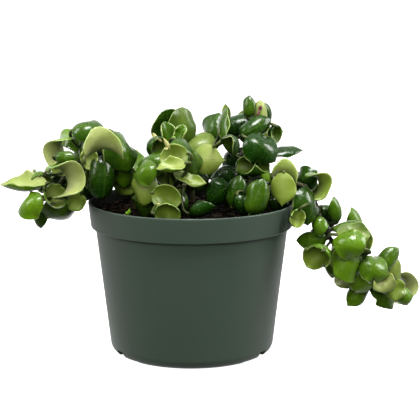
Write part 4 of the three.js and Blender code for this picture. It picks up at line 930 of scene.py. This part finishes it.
def add_stalk(growth, leaf, line):
    """The stalk leaves the nearest stem and bends into the blade's base."""
    surface, _ = blade(leaf, np.array([0.0, 0.05, 0.15]), np.array([-1.0, 0.0, 1.0]))
    root, end, inner = surface[0, 1], surface[1, 1], surface[2, 1]
    foot = line[np.argmin(np.linalg.norm(line - inner, axis=1))]
    bend = end + unit(root - inner) * STALK_BEND * np.linalg.norm(foot - end)
    shares = np.linspace(0, 1, STALK_STEPS)[:, None]
    curve = (1 - shares) ** 2 * foot + 2 * shares * (1 - shares) * bend + shares ** 2 * end
    radii = STALK_RADIUS * np.linspace(*STALK_TAPER, STALK_STEPS)
    add_tube(growth, curve, radii, STALK_SIDES, STALK_PART, leaf["tone"])


UPPER_TINTS = ((0.009, 0.040, 0.0015), (0.115, 0.215, 0.008))
UNDER_TINTS = ((0.050, 0.092, 0.007), (0.180, 0.245, 0.035))
PALE_UNDER_TINT = (0.350, 0.385, 0.150)
VEIN_TINT = (0.17, 0.24, 0.05)
MARGIN_TINT = (0.32, 0.38, 0.14)
FLECK_TINT = (0.26, 0.32, 0.12)
BARK_TINTS = ((0.028, 0.022, 0.010), (0.090, 0.105, 0.030))
STALK_TINTS = ((0.035, 0.055, 0.012), (0.090, 0.105, 0.028))
# Painted shade: colours are darkened by this tint where near things block a point's outlook, as traced by
# the rays below.
PAINTED_SHADE_TINT = (0.14, 0.20, 0.09)
PAINTED_SHADE_RANGE = (0.25, 0.85)
UNDER_PAINTED_SHADE = 0.5
CLOUDINESS = 0.7
FLANK_SHADE = 0.3
VEINS = 46.0
VEIN_SLANT = 9.0
OUTLOOKS = 12
OUTLOOK_REACH = 26
OUTLOOK_START = 0.3
OUTLOOK_SMOOTHING = 2


def with_painted_shade(finish, color):
    """The color darkened by painted shade where near leaves, pot or mix block a point's outlook, less so on
    the pale underside, which light shines through.
    """
    depth = finish.ramp(finish.attribute("painted_shade"), *PAINTED_SHADE_RANGE)
    strength = finish.ramp(finish.attribute("under"), 0, 1, 1.0, UNDER_PAINTED_SHADE, smooth=False)
    return finish.mixed(finish.times(depth, strength), color, PAINTED_SHADE_TINT, blend="MULTIPLY")


def leaf_finish():
    """The waxy leaf: dark glossy green above, pale olive under, with a pale margin and faint veins."""
    leaf = Finish("waxy_leaf", (0.04, 0.12, 0.02), 0.3)
    blade_map = leaf.node("UVMap")
    blade_map.uv_map = "blade"
    along, across, _ = leaf.node("SeparateXYZ", Vector=blade_map.outputs["UV"]).outputs
    off_rib = leaf.number("ABSOLUTE", leaf.number("SUBTRACT", leaf.times(across, 2.0), 1.0))
    under = leaf.attribute("under")

    # Each leaf's lightness is partly its own tone and partly painted light and shade: leaves that lie in
    # shade are given low values, lit ones high.
    light = leaf.plus(leaf.attribute("tone"), leaf.times(leaf.noise(scale=75, detail=3), CLOUDINESS))
    upper = leaf.mixed(leaf.ramp(light, 0.15, 1.4), *UPPER_TINTS)
    pale = leaf.number("SUBTRACT", light, leaf.times(off_rib, FLANK_SHADE))
    lower = leaf.mixed(leaf.ramp(pale, 0.1, 1.0), *UNDER_TINTS)
    lower = leaf.mixed(leaf.ramp(pale, 0.8, 1.5), lower, PALE_UNDER_TINT)
    body = leaf.mixed(under, upper, lower)

    slant = leaf.number("SUBTRACT", leaf.times(along, VEINS), leaf.times(off_rib, VEIN_SLANT))
    vein = leaf.times(leaf.ramp(leaf.number("SINE", slant), 0.86, 1.0), leaf.ramp(off_rib, 0.95, 0.4))
    rib = leaf.ramp(off_rib, 0.05, 0.01)
    lines = leaf.number("MAXIMUM", leaf.times(vein, 0.12), leaf.times(rib, 0.22))
    body = leaf.mixed(leaf.times(lines, 0.6), body, VEIN_TINT)
    margin = leaf.number("MAXIMUM", leaf.ramp(off_rib, 0.93, 0.985), leaf.ramp(along, 0.975, 1.0))
    body = leaf.mixed(leaf.times(margin, 0.8), body, MARGIN_TINT)
    flecks = leaf.ramp(leaf.noise(scale=900, detail=1), 0.69, 0.76)
    body = leaf.mixed(leaf.times(flecks, 0.25), body, FLECK_TINT)

    wax = leaf.noise(scale=260, detail=3)
    gloss = leaf.plus(leaf.times(under, 0.16), leaf.ramp(wax, 0.3, 0.7, 0.20, 0.32))
    # Painted shade darkens the leaf's colour where near things block its outlook.
    leaf.set(leaf.shader, Base_Color=with_painted_shade(leaf, body), Roughness=gloss)
    leaf.set(leaf.shader, Subsurface_Weight=0.12, Subsurface_Scale=1.5 * MM, Specular_IOR_Level=0.5)
    leaf.set(leaf.shader, Subsurface_Radius=(0.4, 1.0, 0.2), Coat_Weight=0.25, Coat_Roughness=0.16)
    dents = leaf.plus(leaf.times(wax, 0.5), leaf.times(leaf.noise(scale=130, detail=2), 0.9))
    height = leaf.number("SUBTRACT", dents, leaf.times(lines, 0.8))
    leaf.bump(height, strength=0.5, distance=0.7 * MM)
    return leaf.material


def bark_finish():
    """The stem's bark: brown and green in fine streaks, darkened with painted shade where near things block
    its outlook.
    """
    bark = Finish("stem_bark", (0.10, 0.07, 0.03), 0.6)
    streaks = bark.noise(scale=240, detail=4)
    bark.set(bark.shader, Base_Color=with_painted_shade(bark, bark.mixed(streaks, *BARK_TINTS)))
    bark.bump(streaks, strength=0.5, distance=0.4 * MM)
    return bark.material


def stalk_finish():
    """The fleshy leaf stalk: olive green, a little redder in places."""
    stalk = Finish("leaf_stalk", (0.07, 0.09, 0.02), 0.45)
    # The stalk's colour is darkened with painted shade where near things block its outlook.
    stalk.set(stalk.shader, Base_Color=with_painted_shade(stalk, stalk.mixed(stalk.noise(scale=160), *STALK_TINTS)))
    return stalk.material


def clear_of_soil(point):
    return point[2] > SOIL_TOP + 5 or math.hypot(point[0], point[1]) > RIM_RADIUS


def grow(name, curves, leaves, materials):
    """One stem with its leaves as one object, closed shells that sink into one another."""
    growth = Growth()
    line = np.concatenate(curves)
    for curve in curves:
        at_node = np.arange(len(curve)) % SAMPLES == 0
        radii = STEM_RADIUS * np.linspace(*STEM_TAPER, len(curve)) * (1 + NODE_SWELL * at_node)
        add_tube(growth, curve, radii, STEM_SIDES, STEM_PART, 0.5)
    for leaf in leaves:
        add_blade(growth, leaf)
        add_stalk(growth, leaf, line[[i for i in range(len(line)) if clear_of_soil(line[i])]])
    mesh = bpy.data.meshes.new(name)
    mesh.from_pydata([tuple(p * MM) for p in growth.points], [], growth.faces)
    mesh.polygons.foreach_set("material_index", growth.kinds)
    mesh.attributes.new("tone", "FLOAT", "POINT").data.foreach_set("value", growth.tone)
    mesh.attributes.new("under", "FLOAT", "FACE").data.foreach_set("value", growth.under)
    corners = [corner for face in growth.faces for corner in face]
    flat = [value for corner in corners for value in (growth.along[corner], growth.across[corner])]
    mesh.uv_layers.new(name="blade").data.foreach_set("uv", flat)
    mesh.polygons.foreach_set("use_smooth", [True] * len(mesh.polygons))
    for material in materials:
        mesh.materials.append(material)
    vine = placed("vine_" + name, mesh)
    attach(vine, "root")
    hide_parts("leafy_stem_" + name)
    return vine


def root_of(foot):
    x, y = foot
    return [[x, y, SOIL_TOP - ROOT_DEPTH], [x, y, SOIL_TOP - ROOT_DEPTH / 2], [x, y, SOIL_TOP + COLLAR]]


def search_tree(pieces):
    """All the faces of the pieces, ready to be met by rays, in metres."""
    corners, rings = [], []
    for piece in pieces:
        start = len(corners)
        corners.extend(vertex.co.copy() for vertex in piece.data.vertices)
        rings.extend([start + corner for corner in face.vertices] for face in piece.data.polygons)
    return BVHTree.FromPolygons(corners, rings)


def mark_painted_shade(pieces, around):
    """Gives each point of the pieces the share of its outlook that near leaves, pot or mix block, kept for
    the painted shade that darkens their color.
    """
    tree = search_tree(pieces + around)
    rises = (np.arange(OUTLOOKS) + 0.5) / OUTLOOKS
    turns = math.pi * (3 - math.sqrt(5)) * np.arange(OUTLOOKS)
    flat = np.sqrt(rises)
    rays = np.stack([flat * np.cos(turns), flat * np.sin(turns), np.sqrt(1 - rises)], 1)
    for piece in pieces:
        mesh = piece.data
        normals = np.array([vertex.normal for vertex in mesh.vertices])
        places = np.array([vertex.co for vertex in mesh.vertices]) + OUTLOOK_START * MM * normals
        lean = np.where(np.abs(normals[:, 2:]) < 0.8, [[0.0, 0.0, 1.0]], [[1.0, 0.0, 0.0]])
        side = np.cross(normals, lean)
        side /= np.linalg.norm(side, axis=1)[:, None]
        frames = np.stack([side, np.cross(normals, side), normals], 1)
        aims = np.einsum("ra,nab->nrb", rays, frames).tolist()
        blocked = [sum(tree.ray_cast(place, aim, OUTLOOK_REACH * MM)[0] is not None for aim in aims_here)
                   for place, aims_here in zip(places.tolist(), aims)]
        blocked = np.array(blocked) / OUTLOOKS
        ends = np.array([edge.vertices[:] for edge in mesh.edges])
        for _ in range(OUTLOOK_SMOOTHING):
            total, count = blocked.copy(), np.ones(len(blocked))
            for a, b in ((0, 1), (1, 0)):
                np.add.at(total, ends[:, a], blocked[ends[:, b]])
                np.add.at(count, ends[:, a], 1)
            blocked = total / count
        mesh.attributes.new("painted_shade", "FLOAT", "POINT").data.foreach_set("value", blocked)


grown = {}
for order, (name, stem) in enumerate(STEMS.items()):
    curves = [smooth_line(points) for points in [root_of(stem["foot"]) + stem["run"]] + stem["branches"]]
    grown[name] = (curves, leaves_of(stem, order, curves[0]))
every_leaf = [leaf for _, leaves in grown.values() for leaf in leaves]
press_apart(every_leaf)
for leaf in every_leaf:
    if leaf["ruled"]:
        keep_off_pot(leaf)
finishes = [leaf_finish(), bark_finish(), stalk_finish()]
vines = [grow(name, curves, leaves, finishes) for name, (curves, leaves) in grown.items()]
# Painted shade: each point keeps the share of its outlook that near things block, which darkens its colour.
mark_painted_shade(vines, [pot, soil])

# The loose things on the mix: chips of pine bark, brown rootlets and fibres, a pale dry twig, and
# a weed seedling with its two seed leaves. They lie where watering left them, half sunk in the mix.
CHIPS = 260
CHIPS_REACH = 69
CHIP_RAISED = 0.15
CHIP_LENGTH = (1.2, 3.0)
CHIP_WIDTH = (0.9, 1.6)
CHIP_THICKNESS = (0.5, 0.7)
CHIP_TINTS = ((0.006, 0.004, 0.003), (0.050, 0.031, 0.018))
ROOTLETS = 46
ROOTLETS_REACH = 64
ROOTLETS_EDGE = 68
ROOTLET_SPAN = (3, 4)
ROOTLET_RADIUS = (0.16, 0.12)
TWIG_PLACES = ((-57, -30, 0.4), (-52, -36, 3.4), (-47, -40, 4.4), (-44, -44, 1.6))
TWIG_RADIUS = (0.55, 0.3)
SEEDLING_FOOT = (-44, -40)
SEEDLING_FORK = (128.3, 214.5, -40)
SEEDLING_STEM = 0.3
SEED_LEAVES = (((129.8, 208.6, -41), 1.1), ((125.6, 211.6, -40), 0.9))
SEED_LEAF_STEPS = 9


def on_soil(x, y, above=0.0):
    return np.array([x, y, soil_height(x, y) + above])


def scattered(number, row, reach):
    """A bearing and a distance from the pot's axis, drawn evenly over a round bed."""
    return 2 * math.pi * draw(number, row), reach * math.sqrt(draw(number, row + 1))


def lumpy_chip(number):
    """A flat broken chip as points and faces: a cube's corners pulled about."""
    length = CHIP_LENGTH[0] + CHIP_LENGTH[1] * draw(number, 1) ** 2
    width = CHIP_WIDTH[0] + CHIP_WIDTH[1] * draw(number, 2)
    height = CHIP_THICKNESS[0] + CHIP_THICKNESS[1] * draw(number, 3)
    turn = Matrix.Rotation(2 * math.pi * draw(number, 4), 3, "Z")
    turn = turn @ Matrix.Rotation(0.7 * (draw(number, 5) - 0.5), 3, "X")
    corners = []
    for i in range(8):
        pull = 0.7 + 0.5 * draw(number, 10 + i)
        corner = Vector(((i & 1) - 0.5, (i >> 1 & 1) - 0.5, (i >> 2) - 0.5))
        corners.append(turn @ Vector((corner.x * length * pull, corner.y * width * pull, corner.z * height)))
    faces = [(0, 2, 3, 1), (4, 5, 7, 6), (0, 1, 5, 4), (2, 6, 7, 3), (0, 4, 6, 2), (1, 3, 7, 5)]
    return corners, faces


def mesh_piece(name, points, faces, finish, slot):
    mesh = bpy.data.meshes.new(name)
    mesh.from_pydata([tuple(Vector(p) * MM) for p in points], [], faces)
    mesh.materials.append(finish.material)
    made = placed(name, mesh)
    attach(made, "root")


points, faces = [], []
for number in range(CHIPS):
    bearing, reach = scattered(number, 20, CHIPS_REACH)
    centre = on_soil(reach * math.cos(bearing), reach * math.sin(bearing), CHIP_RAISED)
    corners, sides = lumpy_chip(number)
    faces.extend([[len(points) + corner for corner in face] for face in sides])
    points.extend([Vector(centre) + corner for corner in corners])
chip_bark = Finish("chipped_bark", (0.05, 0.03, 0.018), 0.9)
chip_bark.set(chip_bark.shader, Base_Color=chip_bark.mixed(chip_bark.noise(scale=190), *CHIP_TINTS))
mesh_piece("bark_chips", points, faces, chip_bark, "potting_mix")

fibres = Growth()
for number in range(ROOTLETS):
    bearing, reach = scattered(number, 30, ROOTLETS_REACH)
    x, y = reach * math.cos(bearing), reach * math.sin(bearing)
    heading, span = 2 * math.pi * draw(number, 32), ROOTLET_SPAN[0] + ROOTLET_SPAN[1] * draw(number, 33)
    knots = []
    for i in range(4):
        heading += 1.3 * (draw(number, 34 + i) - 0.5)
        knots.append(on_soil(x, y, -0.2 if i in (0, 3) else 0.6 + 1.6 * draw(number, 40 + i)))
        x, y = x + span * math.cos(heading), y + span * math.sin(heading)
        if math.hypot(x, y) > ROOTLETS_EDGE:
            x, y = x * 0.9, y * 0.9
    line = smooth_line(knots, 4)
    radius = ROOTLET_RADIUS[0] + ROOTLET_RADIUS[1] * draw(number, 45)
    add_tube(fibres, line, np.full(len(line), radius), sides=5)
rootlet = Finish("brown_rootlet", (0.06, 0.038, 0.022), 0.85)
mesh_piece("rootlets", fibres.points, fibres.faces, rootlet, "potting_mix")

twig = Growth()
line = smooth_line([on_soil(*place) for place in TWIG_PLACES], 6)
add_tube(twig, line, np.linspace(*TWIG_RADIUS, len(line)), sides=7)
dry_wood = Finish("dry_twig", (0.30, 0.22, 0.12), 0.8)
mesh_piece("dry_twig", twig.points, twig.faces, dry_wood, "potting_mix")

seedling = Growth()
fork = seen(*SEEDLING_FORK)
line = smooth_line([on_soil(*SEEDLING_FOOT, -0.5), (on_soil(*SEEDLING_FOOT) + fork) / 2, fork], 4)
add_tube(seedling, line, np.full(len(line), SEEDLING_STEM), sides=6)
for tip, width in SEED_LEAVES:
    shares = np.linspace(0, 1, SEED_LEAF_STEPS)
    radii = 0.15 + width * np.sin(math.pi * shares ** 0.8)
    add_tube(seedling, fork + shares[:, None] * (seen(*tip) - fork), radii, sides=8)
seed_leaf = Finish("seed_leaf", (0.150, 0.300, 0.020), 0.4)
mesh_piece("weed_seedling", seedling.points, seedling.faces, seed_leaf, "waxy_leaf")

# The young growth: pale yellow buds in the leaf joints, the cream growing tip of the middle stem,
# the pale stub where a leaf was shed, and the purple spur of an old flower on the upper stem. Each
# row gives the pixels of a root and a tip, with its depth where the tip stands free, and a width.
BUD_SIDES = 9
BUD_STEPS = 9
OUT_OF_LEAF = 2.0
BUDS = (
    ((157, 140), (152.6, 132.6, -20), 3.2),
    ((162, 142), (156.5, 137.5), 2.0),
    ((170, 149), (163.5, 138, -54), 3.0),
    ((168, 148.5), (164.5, 149.5), 2.0),
    ((158.5, 204.5), (158.5, 204.5), 2.6),
)
SPUR = (
    ((257, 116), (260, 109), 1.4),
    ((260, 110), (260.8, 105.5), 2.6),
)


def touched(across, down):
    """The first place of the plant that the camera sees at the given pixel, in millimetres."""
    aim = Vector(seen(across, down, 0) * MM) - CAMERA_AT
    return np.array(plant.ray_cast(CAMERA_AT, aim.normalized())[0]) / MM


def spindles(rows):
    """Buds from their roots to their tips, each widest a little above its root."""
    growth = Growth()
    shares = np.linspace(0, 1, BUD_STEPS)
    for root_pixel, tip_pixel, width in rows:
        root = touched(*root_pixel)
        tip = seen(*tip_pixel) if len(tip_pixel) == 3 else touched(*tip_pixel) - OUT_OF_LEAF * SIGHT
        radii = 0.12 + width / 2 * np.sin(math.pi * shares ** 0.75)
        add_tube(growth, root + shares[:, None] * (tip - root), radii, BUD_SIDES)
    return growth.points, growth.faces


plant = search_tree(vines)
young = Finish("young_growth", (0.40, 0.39, 0.16), 0.45)
mesh_piece("leaf_buds", *spindles(BUDS), young, "waxy_leaf")
old_flower = Finish("purple_spur", (0.100, 0.028, 0.035), 0.6)
mesh_piece("flower_spur", *spindles(SPUR), old_flower, "waxy_leaf")
